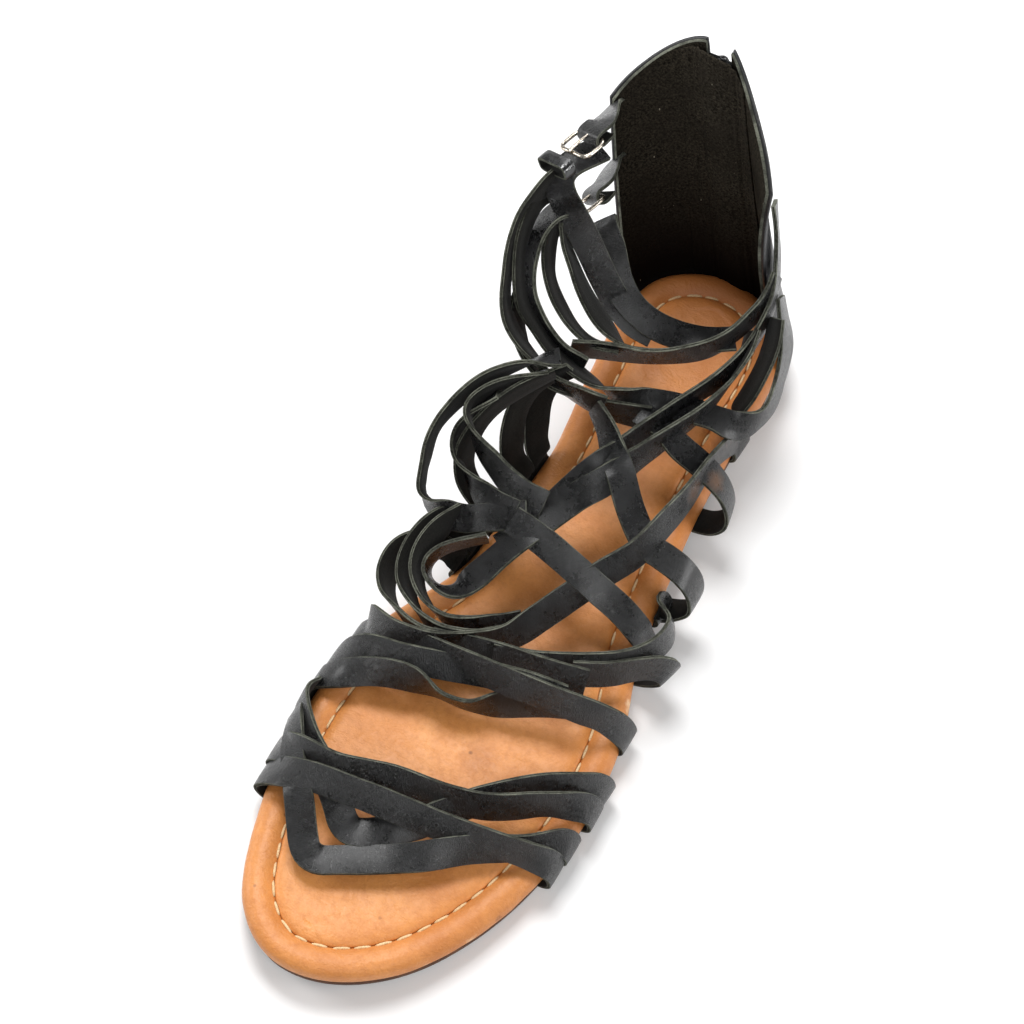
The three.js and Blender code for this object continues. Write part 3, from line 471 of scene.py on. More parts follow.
def tan_paint(name, panel):
    """Mottled tan leatherette, darkened towards the heel by painted shade. The rim and the panel differ in
    tone, creases and marks.
    """
    paint = Paint(name, Specular_IOR_Level=0.42, Coat_Weight=0.06, Coat_Roughness=0.3)
    cloud = paint.noise(26, detail=6, roughness=0.6, distortion=0.4)
    grain = paint.noise(2.1, detail=6, roughness=0.7)
    weave = paint.noise(0.5, detail=3, vector=paint.scaled((700, 1500, 1000)))
    light, dark = shade(218, 144, 78), shade(192, 118, 56)
    if panel:
        light, dark = shade(226, 152, 84), shade(206, 130, 64)
    base = paint.mix(paint.span(cloud, 0.34, 0.66), light, dark)
    base = paint.over(base, paint.span(grain, 0.46, 0.74), 0.5, shade(180, 108, 54))
    base = paint.over(base, paint.span(weave, 0.5, 0.8), 0.22, shade(238, 178, 120))
    # Darker towards the heel: painted shade of the counter on the rim and panel
    depth = paint.part(paint.here, "Y")
    base = paint.over(base, paint.span(depth, -0.07, 0.02), 0.55, shade(176, 103, 50))
    holes = paint.span(paint.cells(9), 0.1, 0.05)
    pits = paint.math("MULTIPLY", holes, paint.span(paint.noise(11, detail=2), 0.5, 0.56))
    base = paint.over(base, pits, 0.7, shade(104, 58, 30))
    if panel:
        worn = paint.near(PANEL_STAINS, warp=5)
        base = paint.over(base, worn, 0.35, shade(150, 86, 40))
    else:
        low = paint.near(RIM_NICKS, warp=2.6)
        base = paint.over(base, low, 0.8, shade(112, 58, 28))
        # Pale spots on the rim: painted highlights
        painted_glints = paint.near(RIM_PAINTED_HIGHLIGHTS, warp=3.4)
        base = paint.over(base, painted_glints, 0.9, shade(244, 204, 160))
    paint.color(base)
    smooth = paint.span(cloud, 0.3, 0.7, 0.36, 0.5)
    paint.rough(paint.math("ADD", smooth, paint.span(grain, 0.4, 0.8, 0, 0.12)))
    pores = paint.bump(paint.cells(0.7), 0.05)
    folds = paint.noise(4.5, detail=5, roughness=0.65, vector=paint.scaled((800, 1100, 1000)), distortion=0.6)
    paint.bump(paint.math("ADD", paint.span(folds, 0.42, 0.62), grain), 0.12, below=pores)
    return paint.material


def thread_paint(name, light, dark):
    paint = Paint(name, Specular_IOR_Level=0.25, Roughness=0.75, Sheen_Weight=0.2)
    twist = paint.noise(0.35, detail=3)
    tone = paint.noise(14, detail=2)
    base = paint.mix(paint.span(twist, 0.4, 0.7), light, dark)
    paint.color(paint.over(base, paint.span(tone, 0.4, 0.7), 0.4, dark))
    paint.bump(twist, 0.1)
    return paint.material


def rubber_paint():
    """Matt dark brown sole rubber with a ribbed underside and dusty scrapes."""
    paint = Paint("sole_rubber_look", Specular_IOR_Level=0.3)
    cloud = paint.noise(12, detail=5, roughness=0.65)
    fine = paint.noise(0.9, detail=4)
    base = paint.mix(paint.span(cloud, 0.35, 0.68), shade(74, 49, 35), shade(104, 73, 54))
    base = paint.over(base, paint.span(fine, 0.55, 0.75), 0.5, shade(132, 104, 82))
    paint.color(base)
    paint.rough(paint.span(cloud, 0.3, 0.7, 0.6, 0.8))
    facing = paint.part(paint.node("ShaderNodeNewGeometry", {}).outputs["Normal"], "Z")
    ribs = paint.waves("Y", 75.0, 2.2, vector=paint.scaled((0, 1, 0)), detail=0.0, detail_scale=0.6)
    tread = paint.math("MULTIPLY", ribs, paint.span(facing, -0.6, -0.9))
    paint.bump(paint.math("ADD", tread, paint.math("MULTIPLY", fine, 0.25)), 0.5)
    return paint.material


def metal_paint(name, tone):
    """Polished nickel with faint scratches and dull patches."""
    paint = Paint(name, Metallic=1.0, Specular_IOR_Level=0.5)
    cloud = paint.noise(2.4, detail=4, roughness=0.6)
    lines = paint.noise(0.5, detail=3, vector=paint.scaled((2500, 400, 600)))
    paint.color(paint.mix(paint.span(cloud, 0.4, 0.7), tone, shade(150, 138, 120)))
    smooth = paint.span(cloud, 0.35, 0.7, 0.14, 0.34)
    paint.rough(paint.math("ADD", smooth, paint.span(lines, 0.5, 0.8, 0, 0.12)))
    paint.bump(lines, 0.02)
    return paint.material


def tape_paint():
    """Black woven zip tape."""
    paint = Paint("zip_tape_weave", Specular_IOR_Level=0.2, Roughness=0.85, Sheen_Weight=0.25)
    warp = paint.waves("Z", 420.0, 0.6)
    weft = paint.waves("X", 420.0, 0.6)
    weave = paint.math("MULTIPLY", warp, weft)
    paint.color(paint.mix(weave, shade(12, 12, 12), shade(34, 34, 34)))
    paint.bump(weave, 0.12)
    return paint.material


def coil_paint():
    """Glossy black nylon of the zip's coils."""
    paint = Paint("zip_coil_nylon", Specular_IOR_Level=0.5)
    cloud = paint.noise(3, detail=3)
    paint.color(paint.mix(cloud, shade(14, 14, 15), shade(34, 34, 36)))
    paint.rough(paint.span(cloud, 0.3, 0.7, 0.3, 0.5))
    paint.bump(paint.noise(0.6), 0.03)
    return paint.material


# Marks placed one by one: along, across, up, radius
TAN_SMUDGES = ((74, 30, 33, 4), (82, 28, 37, 4.5))
PANEL_STAINS = ((60, 4, 17, 10), (84, -6, 17, 8), (176, 10, 11, 7), (42, -8, 17, 6), (118, 10, 13, 6))
RIM_NICKS = (
    (252, -14, 9, 1.8), (248, 6, 8, 1.4), (236, 22, 9, 1.6), (247, -20, 9, 2.2), (228, -30, 9, 1.5),
    (240, 18, 6, 1.6), (70, 27, 12, 2.4), (92, 29, 12, 2), (2, -14, 16, 1.6), (6, 12, 17, 1.5),
    (214, 39, 8, 1.8), (120, 34, 11, 2),
)
# Spots of painted highlight on the rim
RIM_PAINTED_HIGHLIGHTS = (
    (250, -8, 8.5, 2.4), (254, -18, 8, 1.6), (234, 26, 8, 2.2), (222, 34, 8, 1.8), (216, -36, 8, 1.6),
    (140, 38, 9, 2.4), (196, 43, 9, 2),
)


# ---------------------------------------------------------------- sole
OUTLINE_STEPS = 110


def outline_ring(inset, height, base, steps=OUTLINE_STEPS):
    """Points round the sole, from the heel along the outer side to the toe and back."""
    points = []
    for i in range(2 * steps):
        side = OUTER if i <= steps else INNER
        step = i if i <= steps else 2 * steps - i
        along, across = outline_point(side, math.pi * step / steps, -inset)
        points.append(place(along, across, base(along) + height))
    return points


def flat_points(rings):
    return [point for ring in rings for point in ring]


def across_cap(shape, ring, relief=None, columns=26, down=False):
    """Closes a ring with a grid that runs straight across the sole, lifted by relief(along, across)."""
    steps = OUTLINE_STEPS
    points, rows = [ring[0]], [[0] * (columns + 1)]
    for i in range(1, steps):
        outer, inner = ring[i], ring[2 * steps - i]
        row = []
        for k in range(columns + 1):
            t = k / columns
            point = outer * (1 - t) + inner * t
            if relief and 0 < k < columns:
                point = point + np.array([0, 0, relief(HEEL_BACK - point[1], point[0], min(t, 1 - t))])
            row.append(len(points))
            points.append(point)
        rows.append(row)
    rows.append([len(points)] * (columns + 1))
    points.append(ring[steps])
    faces = []
    for a, b in zip(rows, rows[1:]):
        for k in range(columns):
            face = tuple(dict.fromkeys((a[k], a[k + 1], b[k + 1], b[k])))
            faces.append(face[::-1] if down else face)
    shape.add(points, faces, 0)


def sole_layer(insets, base, relief=None, top_columns=26, ripple=None):
    """A closed layer of the sole through rings of (inset, height over base), from its underside up."""
    layer = Shape()
    rings = [outline_ring(inset, height, base) for inset, height in insets]
    if ripple:
        rings = [ripple(ring, row) for row, ring in enumerate(rings)]
    layer.add(flat_points(rings), tube_faces(len(rings), len(rings[0]), closed_ends=False), 0)
    across_cap(layer, rings[0], down=True)
    across_cap(layer, rings[-1], relief, top_columns)
    return layer


# How far in from the outline, and height over the layer's base
OUTSOLE_RINGS = (
    (14, 0), (2.6, 0), (1.8, 0.15), (1.2, 0.6), (0.9, 1.2), (0.9, 2.4), (1.1, 2.9), (1.6, 3), (14, 3),
)
RIM_RINGS = (
    (14, 0.3), (3, 0.3), (2.0, 0.45), (1.2, 0.95), (0.65, 1.8), (0.25, 2.8), (0.02, 4.0), (0.1, 5.0),
    (0.45, 6.0), (1.05, 6.9), (1.9, 7.6), (2.9, 8.05), (4.0, 8.25), (5.2, 8.22), (6.4, 8.0), (7.4, 7.6),
    (8.1, 7.15), (8.6, 6.8), (8.95, 6.55), (9.1, 6.0), (14, 5.7),
)
RIM_LOOSE_ROWS = range(3, 18)
SOCK_RINGS = (
    (14, 6.0), (9.6, 6.1), (9.15, 6.5), (9.5, 6.95), (10.1, 7.4), (10.9, 7.75), (12, 7.95), (14, 8.05),
)


def noise_at(along, across, size, seed=0.0):
    return noise.noise(Vector((along / size + seed, across / size, seed)))


def panel_relief(along, across, edge):
    """The panel's slow waves and the dents of heel and ball."""
    fade = min(1.0, edge * 6)
    waves = 0.28 * noise_at(along, across, 24, 3.1) + 0.12 * noise_at(along, across, 9, 7.7)
    ball = -0.5 * math.exp(-(((along - 178) / 26) ** 2) - ((across + 4) / 22) ** 2)
    heel = -0.6 * math.exp(-(((along - 34) / 20) ** 2) - (across / 13) ** 2)
    return fade * (waves + ball + heel)


def rim_ripple(points, row):
    """Slight unevenness of the wrapped rim, more on its side than on its crown."""
    if row not in RIM_LOOSE_ROWS:
        return points
    amount = 0.16 if 3 < row < 12 else 0.08
    return [
        p + np.array([0, 0, amount * noise_at(p[1], p[0], 12, 5.0 + 0.05 * row)])
        + amount * unit(np.array([p[0], 0, 0])) * noise_at(p[1], p[0], 7, 9.0 + 0.03 * row)
        for p in points
    ]


def build_sole(paints):
    """Outsole, heel lift, wrapped footbed and sock panel."""
    piece = sole_layer(OUTSOLE_RINGS, sole_under).piece("outsole_shaped", [paints["rubber"]])
    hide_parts("outsole")

    lift = Shape()
    top = sole_under(0) - GAP
    sections = ((2.2, 0.0), (1.75, 0.25), (1.6, 0.8), (1.1, top - 0.3), (1.4, top))
    columns = 40
    rows = []
    for inset, height in sections:
        row = []
        for side in (INNER, OUTER):
            steps = range(columns + 1) if side == INNER else range(1, columns + 1)
            for k in steps:
                share = 1 - k / columns if side == INNER else k / columns
                angle = outline_angle(HEEL_LIFT_FRONT) * share
                along, across = outline_point(side, angle, -inset)
                row.append(place(min(along, HEEL_LIFT_FRONT), across, height))
        rows.append(row)
    around = len(rows[0])
    lift.add(flat_points(rows), tube_faces(len(rows), around, closed_ends=False), 0)
    half = around // 2
    for index, down in ((0, True), (len(rows) - 1, False)):
        ring = rows[index]
        faces = [tuple(dict.fromkeys((k, around - 1 - k, around - 2 - k, k + 1))) for k in range(half)]
        lift.add(ring, [face[::-1] for face in faces] if down else faces, 0)
    piece = lift.piece("heel_lift_shaped", [paints["rubber"]])
    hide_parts("heel_lift")

    piece = sole_layer(RIM_RINGS, sole_joint, ripple=rim_ripple).piece("footbed_wrap", [paints["rim"]])
    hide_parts("footbed")

    piece = sole_layer(SOCK_RINGS, sole_joint, panel_relief, 40).piece("sock_panel", [paints["panel"]])
    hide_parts("sock_lining")


STITCH = {"inset": 8.85, "height": 6.75, "pitch": 5.9, "length": 4.5, "radius": 0.36, "arch": 0.35}


def stitch(shape, start, end, up, radius, arch, sides=7, steps=7):
    """One thread stitch that rises out of its hole, runs over and dips into the next."""
    run = unit(end - start)
    wide = unit(np.cross(run, up))
    high = np.cross(wide, run)
    points = []
    for k in range(steps + 1):
        t = k / steps
        middle = start + (end - start) * t + high * arch * (math.sin(math.pi * t) ** 0.5 - 0.7)
        thick = radius * (0.55 + 0.45 * math.sin(math.pi * t) ** 0.4)
        for i in range(sides):
            a = 2 * math.pi * i / sides
            points.append(middle + thick * (1.15 * math.cos(a) * wide + 0.9 * math.sin(a) * high))
    shape.add(points, tube_faces(steps + 1, sides), 0)


def build_sole_stitches(paints):
    """Cream stitches in the groove, all round the sole."""
    shape = Shape()
    fine = 900
    walk = np.array(outline_ring(STITCH["inset"], STITCH["height"], sole_joint, steps=fine))
    lengths = np.linalg.norm(np.diff(np.vstack([walk, walk[:1]]), axis=0), axis=1)
    reach = np.concatenate([[0], np.cumsum(lengths)])
    total = reach[-1]
    count = round(total / STITCH["pitch"])
    loop = np.vstack([walk, walk[:1]])

    def at(distance):
        return np.array([np.interp(distance % total, reach, loop[:, axis]) for axis in range(3)])

    uneven = np.random.default_rng(4)
    for k in range(count):
        start = total * k / count + uneven.uniform(-0.25, 0.25)
        length = STITCH["length"] + uneven.uniform(-0.3, 0.3)
        side = uneven.uniform(-0.12, 0.12)
        a, b = at(start), at(start + length)
        across = unit(np.cross(b - a, (0, 0, 1)))
        ends = (a + side * across, b - side * across)
        stitch(shape, *ends, np.array([0, 0, 1.0]), STITCH["radius"], STITCH["arch"])
    shape.piece("footbed_stitches", [paints["cream_thread"]])


# ---------------------------------------------------------------- straps
LAST_MIDDLE = [
    place(*row) for row in (
        (256, -4, -60), (185, 0, -60), (150, 2, -35), (115, 2, 8), (72, -2, 32), (45, -12, 120),
    )
]
TIGHT = ((1.5, 3.4, 0), (1.7, 6.4, 0), (0.3, 9.6, 1))  # out from the rim, up from the joint, tilt of the face
LOOSE = ((2, 2.6, -1),)


def away_from_last(point):
    """The way out from the middle line of the foot and leg."""
    best = None
    for a, b in zip(LAST_MIDDLE, LAST_MIDDLE[1:]):
        t = np.clip(np.dot(point - a, b - a) / np.dot(b - a, b - a), 0, 1)
        spot = a + t * (b - a)
        if best is None or np.linalg.norm(point - spot) < np.linalg.norm(point - best):
            best = spot
    return unit(point - best)


def tail_guides(side, along, hold):
    """Guides of a strap's lashed end, from under the footbed round its edge."""
    edge = outline_point(side, outline_angle(along))[1]
    joint = sole_joint(along)
    under = unit(np.array([0, joint - sole_joint(along + 1), -1.0]))
    level = joint + GAP + STRAP_THICKNESS / 2
    return [
        (place(along, edge - side * TAIL_REACH, level), under),
        (place(along, edge - side * TAIL_BEND, level), under),
        *[
            (place(along, edge + side * out, joint + rise), unit(np.array([side, 0, tilt])))
            for out, rise, tilt in hold
        ],
    ]


def turned(vector, axis, degrees):
    return np.array(Matrix.Rotation(math.radians(degrees), 3, Vector(axis)) @ Vector(vector))


def strap_guides(strap):
    middle = []
    for along, across, up, *turn in strap["route"]:
        point = place(along, across, up)
        middle.append([point, away_from_last(point), turn[0] if turn else 0])
    for i, guide in enumerate(middle):
        run = unit(middle[min(i + 1, len(middle) - 1)][0] - middle[max(i - 1, 0)][0])
        face = unit(guide[1] - np.dot(guide[1], run) * run)
        guide[1] = turned(face, run, guide[2])
    start = tail_guides(*strap["from"]) if "from" in strap else []
    end = tail_guides(*strap["to"])[::-1] if "to" in strap else []
    return [*start, *[(point, face) for point, face, _ in middle], *end]


FACE, EDGE, BACK, CORE = 0, 1, 2, 3
STRAP = {"step": 1.4, "thickness": 1.3, "crown": 0.1, "round": 0.16}


def strap_paints(paints):
    return [paints["strap_top"], paints["edge"], paints["strap_back"], paints["core"]]


def strap_section(width, thickness):
    """Section of a strap as (across, out, material of the side that follows)."""
    w, t, r = width / 2, thickness / 2, STRAP["round"]
    crown = STRAP["crown"]
    top = [
        (w - r, t - 0.02, FACE), (w * 0.55, t + crown * 0.7, FACE), (0, t + crown, FACE),
        (-w * 0.55, t + crown * 0.7, FACE),
    ]
    left = [
        (-w + r, t - 0.02, EDGE), (-w + 0.03, t - r, EDGE), (-w + 0.03, t - r - 0.26, CORE),
        (-w + 0.1, 0, CORE), (-w + 0.03, -t + r + 0.26, EDGE), (-w + 0.03, -t + r, BACK),
    ]
    bottom = [(-w + r, -t, BACK), (-w * 0.4, -t + 0.05, BACK), (w * 0.4, -t + 0.05, BACK), (w - r, -t, BACK)]
    right = [
        (w - 0.03, -t + r, EDGE), (w - 0.03, -t + r + 0.26, CORE), (w - 0.1, 0, CORE),
        (w - 0.03, t - r - 0.26, EDGE), (w - 0.03, t - r, EDGE),
    ]
    return top + left + bottom + right


def build_strap(shape, name, strap, seed):
    guides = strap_guides(strap)
    middle, run, wide, out, reach = strip_frames(guides, STRAP["step"], True, 3, 8, 3)
    section = strap_section(STRAP_WIDTH, STRAP["thickness"])
    lift = LIFTS.get(name, 0)
    ring_points, uvs = [], []
    for k, spot in enumerate(middle):
        sway = 0.14 * noise.noise(Vector((reach[k] / 14, seed, 0)))
        swell = 1 + 0.035 * noise.noise(Vector((reach[k] / 9, seed, 5)))
        roll = 0.16 * noise.noise(Vector((reach[k] / 16, seed, 9)))
        w = unit(wide[k] + roll * out[k])
        o = np.cross(w, run[k])
        for across, thick, _ in section:
            ragged = 0.05 * noise.noise(Vector((reach[k] / 1.7, seed, math.copysign(3, across))))
            side = across * swell + sway + math.copysign(ragged, across) * (abs(across) > 4)
            ring_points.append(spot + w * side + o * (thick + lift))
            uvs.append((reach[k] + 37 * seed, across + 10 * (thick < 0)))
    around = len(section)
    quads = tube_faces(len(middle), around)
    marks = [mark for _ in middle[1:] for _, _, mark in section] + [EDGE, EDGE]
    shape.add(ring_points, quads, marks, uvs)


def build_straps(paints):
    shape = Shape()
    for seed, (name, strap) in enumerate(STRAPS.items()):
        build_strap(shape, name, strap, seed)
    piece = shape.piece("straps", strap_paints(paints))
    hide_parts("strap_upper")


STRAPS = {  # lashed ends as (side, along, hold), and route rows of along, across, up and turn in degrees
    "toe_front": {
        "from": (INNER, 211, TIGHT),
        "route": ((209, -28, 23), (206, -12, 23), (203, 6, 21), (199, 26, 19.5), (196, 37, 17.5)),
        "to": (OUTER, 194, TIGHT),
    },
    "toe_back": {
        "from": (INNER, 203, TIGHT),
        "route": ((203, -33, 23), (203, -20, 25.5), (198, -5, 24.5), (191, 20, 20.5), (180, 36, 18.5)),
        "to": (OUTER, 174, TIGHT),
    },
    "toe_long_loop": {
        "from": (INNER, 189, TIGHT),
        "route": (
            (194, -40, 20), (203, -35, 21.6), (209, -30.5, 21.4), (216, -24.5, 20.5), (222.5, -19.5, 19),
            (226.5, -15.8, 17.9), (226.8, -12, 17.4), (224.5, -8, 17.3), (220, -0.5, 17.4),
            (213, 10.5, 17.8), (203, 23, 18.2), (195, 35, 16.8),
        ),
        "to": (OUTER, 186, TIGHT),
    },
    "toe_short_loop": {
        "from": (INNER, 182, TIGHT),
        "route": (
            (189, -41, 20), (198, -33, 23), (204, -24.5, 22.6), (210.5, -15.5, 20.4),
            (214.3, -11.2, 18.4), (215, -8, 17.6), (212.8, -3.8, 17.4), (205, 6, 18.5), (196, 13, 19.5),
            (185, 23, 20.5), (177, 32, 20.5), (171, 40, 17.5),
        ),
        "to": (OUTER, 167, TIGHT),
    },
    "ball_front": {
        "from": (INNER, 171, TIGHT),
        "route": (
            (167, -32, 23), (165, -21, 25), (161, -8, 25.5), (158, 2, 26), (155, 14, 26.5), (153, 24, 25),
        ),
    },
    "ball_twisted": {
        "from": (INNER, 178, TIGHT),
        "route": (
            (172, -28, 21), (169, -18, 22.5), (168, -8, 20, 50), (166, 1, 18.5, 50), (161, 10, 20),
            (157, 19, 23), (154, 27, 24.6),
        ),
    },
    "ball_back": {
        "from": (INNER, 161, TIGHT),
        "route": (
            (160, -29, 23), (160, -18, 26), (159, -6, 27.5), (158, 5, 27.5), (156, 17, 26.5),
            (154, 28, 25), (151, 37, 20.5),
        ),
        "to": (OUTER, 149, TIGHT),
    },
    "ball_inner_stub": {
        "route": (
            (157, -17, 25.6), (152.5, -4, 24.9), (150, 6, 24.8), (148, 17, 24.5), (145, 27, 23.5),
        ),
    },
    "waist_low": {
        "route": (
            (152, 0, 24.5), (147, 12, 23.5), (140, 24, 23), (134, 33, 24.5), (127, 39, 25.5),
            (117, 39, 21.5),
        ),
        "to": (OUTER, 110, TIGHT),
    },
    "waist_loop": {
        "route": (
            (144, 22, 22), (139, 31, 22.2), (134, 37, 22.8), (130.6, 41.4, 22.2), (128.6, 44.4, 19.6),
            (128, 45, 15.2),
        ),
        "to": (OUTER, 128, LOOSE),
    },
    "waist_down": {
        "route": (
            (117, -14, 37.5), (118, -3, 36), (120, 8, 34.3), (121.5, 17, 32), (122, 26, 27),
            (123, 33, 21),
        ),
        "to": (OUTER, 122, TIGHT),
    },
    "long_wrap": {
        "from": (INNER, 156, TIGHT),
        "route": (
            (158.5, -36, 22.6), (160.5, -28, 26, 8), (158, -17, 26.4, 20), (152, -8, 25, 30),
            (144, 1, 24, 20), (136, 5.6, 26.2, 5), (126.5, 11, 29.6), (117.2, 16, 32.8), (107, 22, 35.6),
            (95.6, 24.6, 37.6), (85, 26, 36.8), (70, 26, 33.8), (58, 26.5, 27),
        ),
        "to": (OUTER, 51, TIGHT),
    },
    "waist_outer_loop": {
        "route": (
            (102.6, 22, 32.6), (103.2, 28.3, 32.8), (103.4, 35, 30), (104, 39.6, 24.6), (105.6, 40.4, 16),
        ),
        "to": (OUTER, 108, LOOSE),
    },
    "heel_outer_loop": {
        "route": (
            (70, 2, 43), (71, 9, 42), (73, 17, 39), (73, 25, 34.8), (74, 33, 28), (76, 36, 21),
            (77, 33.5, 15.5),
        ),
        "to": (OUTER, 77, LOOSE),
    },
    "instep_link": {
        "route": (
            (77, -9, 47), (81, -3, 45.5), (86, 2, 44), (90.4, 6.6, 42.6), (96.3, 12.3, 39.4),
            (100.2, 17.4, 36.4), (102.4, 21.6, 33.8), (103.4, 26, 32.6),
        ),
    },
    "instep_low": {
        "route": (
            (122.8, -18.7, 31, -106), (127.5, -24.4, 30, -115), (132.3, -28.9, 29, -132),
            (137.3, -30.2, 28.5, -142), (141, -28.3, 28.4, -130), (142.7, -23.6, 28.6, -112),
            (141.6, -18.4, 29.6, -55), (136.8, -15.6, 31.4), (128.5, -12.6, 33), (120.4, -9.6, 35),
            (110.4, -5, 37), (101, -0.5, 39.5), (96, 3, 41), (82, 9, 42), (70, 14, 42.5), (58, 18, 42),
            (46, 19.6, 42), (38, 19.4, 43.5), (31, 18, 46),
        ),
    },
    "instep_high": {
        "route": (
            (124, -14, 32.2), (112, -7.5, 36), (96, -1.6, 41), (83, 4, 43.4), (61, 12, 43.8, -11),
            (44, 18, 42.8, -23), (33, 19.4, 44.3, -41), (27, 19.6, 46.6, -50), (22, 19.2, 49.6, -49),
            (17, 17.6, 53.4, -44), (12.5, 15.2, 57.4, -45), (8.6, 12.6, 61.6, -49),
            (5.6, 10.2, 65.8, -52), (3, 7.9, 69.6, -54),
        ),
    },
    "inner_loop_outer": {
        "route": (
            (76, -22, 62, 20), (83, -31, 60.5, 45), (92, -38.5, 58, 50), (102, -43, 53.5, 45),
            (109, -45, 48, 35), (115, -44, 41.5, 25), (119, -43, 34, 20), (121, -38, 29, 10),
            (121, -29, 30), (118, -20, 34.5), (114, -11, 38),
        ),
    },
    "inner_loop_middle": {
        "route": (
            (80, -24, 58, 20), (93, -36, 56, 45), (100, -38, 53.5, 40), (104, -34, 50, 25),
            (107, -26, 44.5, 10), (109, -16, 39.5), (109, -8, 39),
        ),
    },
    "inner_loop_inner": {
        "route": (
            (92, -33, 56, 30), (102, -39.5, 47, 40), (107, -38, 40.5, 35), (111, -31, 35.5, 20),
            (114, -23, 35), (115, -14, 37),
        ),
    },
    "inner_side_front": {
        "from": (INNER, 109, TIGHT),
        "route": (
            (109.5, -31, 26, -14), (108.5, -35, 35, -40), (104, -36, 44, -55), (96, -33.5, 51, -60),
            (87, -28, 55.5, -50), (79, -22, 57.5, -40),
        ),
    },
    "inner_side_middle": {
        "from": (INNER, 94.5, TIGHT),
        "route": (
            (94.5, -26, 24, -23), (93, -28, 34, -45), (89, -29, 43, -60), (83, -28, 49.5, -58),
            (77, -24, 53, -50),
        ),
    },
    "inner_side_back": {
        "from": (INNER, 86, TIGHT),
        "route": (
            (85.5, -23.5, 22, -17), (83.5, -25, 32, -42), (80, -26, 41, -58), (75.5, -24, 48, -60),
            (72, -20, 51, -50),
        ),
    },
    "inner_rim_front": {
        "from": (INNER, 126, TIGHT),
        "route": (
            (129, -36, 22, 30), (136, -40.5, 24, 55), (143, -40.5, 23, 60), (149, -37, 22, 55),
            (153, -30, 23, 45), (156, -22, 24.6, 30), (155, -13, 24.4, 15), (151, -5, 23),
        ),
    },
    "inner_rim_middle": {
        "from": (INNER, 119, TIGHT),
        "route": (
            (122, -34, 27, 30), (131, -36, 30, 60), (139, -35.5, 29, 65), (145, -33, 27, 60),
            (150, -27, 26, 50), (153, -19, 25.4, 35), (150.5, -8, 23.6, 20), (145, -1, 22),
        ),
    },
    "inner_rim_back": {
        "route": (
            (120, -30, 31, 30), (130, -32, 33, 60), (136, -32.5, 32, 65), (142, -31, 30, 60),
            (147, -26, 28, 50), (149, -19, 26.4, 40), (147.5, -12, 24.2, 25), (143, -4, 22.6),
            (138, 2, 22.6),
        ),
    },
    "ankle_upper": {
        "route": (
            (25.2, -38.4, 90.4, -106), (29.6, -40.2, 91.4, -104), (34, -42, 92.4, -97),
            (39, -43, 93.2, -90), (42.7, -42.4, 93, -102), (44.3, -40.4, 90, -135), (44, -37.8, 84, -155),
            (44, -33.6, 76, -165), (44.3, -29.5, 67.5, -171), (44.7, -25, 58.4, -179),
            (46, -19.6, 51.6, 168), (47.2, -13, 47.6, 140), (46.8, -6.6, 46.2, 130),
        ),
    },
    "ankle_lower": {
        "route": (
            (30.6, -33.2, 65.4, -111), (33.8, -31.2, 65.2, -147), (36, -28, 62.6, -176),
            (38.6, -25.1, 59, -175), (41.8, -21.6, 55.4, 176), (44.3, -17.2, 52.6, 158),
            (45.6, -11.2, 50.4, 141), (45.6, -4.8, 48.8, 119), (44, 1.4, 47.6, 110), (41.6, 7, 47, 108),
            (38.6, 11.6, 46.6, 112), (36.4, 14.6, 46.6, 116),
        ),
    },
    "ankle_outer_loop": {
        "route": (
            (42, -43.6, 92.5), (44.5, -44.8, 92), (49.7, -46.2, 90), (53.8, -47.2, 87), (59.3, -47, 82),
            (65, -45.6, 75), (69.4, -44, 68), (72, -41.4, 62), (74, -36.6, 57), (75.3, -30.3, 53),
            (76.5, -22.5, 50), (76.5, -14, 48.5), (76, -7, 47.5),
        ),
    },
    "ankle_long_wrap": {
        "route": (
            (42.5, -43.8, 88), (46, -45.2, 88.5), (51, -46, 86), (56.5, -45.5, 82), (60.7, -44.1, 76),
            (64.5, -41.9, 70), (66.5, -39.2, 64), (67, -35, 59), (68.8, -28.1, 52.5), (70, -21, 49),
            (70.3, -13.8, 47), (69.6, -4.6, 45.5), (66.4, 3.6, 44), (62.5, 11.4, 42), (59, 19.4, 38.5),
            (56, 26.8, 35), (50, 31, 34), (45, 31.8, 34, -19), (40, 31.2, 35, -29), (34, 29.6, 36.3, -33),
            (29, 28, 38.4, -41), (24, 25.2, 41.6, -47), (20.5, 22.2, 44.6, -47), (17.6, 19.6, 47.6, -46),
        ),
    },
    "ankle_under": {
        "route": (
            (60.5, -43, 66), (66, -42.5, 58), (70, -39, 52), (73.5, -33.5, 46.5), (75.5, -25, 43),
            (75, -16, 41.5), (73.5, -8, 41), (71.5, -1, 41), (69.5, 5, 41),
        ),
    },
    "ankle_arc": {
        "route": (
            (45.5, -40.4, 83.5, -79), (47.5, -41.3, 84, -67), (52.2, -42.6, 82, -58),
            (56, -42.8, 78, -55), (59.4, -42.3, 72, -51), (62.8, -40.2, 66, -52), (65, -36.4, 60, -58),
            (66.4, -31.8, 55, -61), (67.6, -25.8, 51, -63), (67.5, -18, 49, -71),
        ),
    },
    "ankle_inner_arc": {
        "route": (
            (47, -39.8, 80, -15), (50.4, -40.1, 77, -14), (54.1, -38.7, 71, -17), (57.2, -36, 65, -25),
            (58.7, -31.8, 58, -37), (60.3, -26.2, 53, -48), (60.8, -20.2, 50, -86), (58.5, -12, 49, -121),
        ),
    },
    "ankle_middle": {
        "route": (
            (45.5, -39.5, 80, -44), (47.7, -37.4, 74, -46), (49.8, -33.2, 68, -46), (51.9, -29, 62, -42),
            (53.4, -24, 56, -48), (55.3, -17.6, 52, -65), (57, -11.6, 50, -118), (57, -7, 49.4, -149),
            (55.3, -2.6, 49, -163),
        ),
    },
    "ankle_front": {
        "route": (
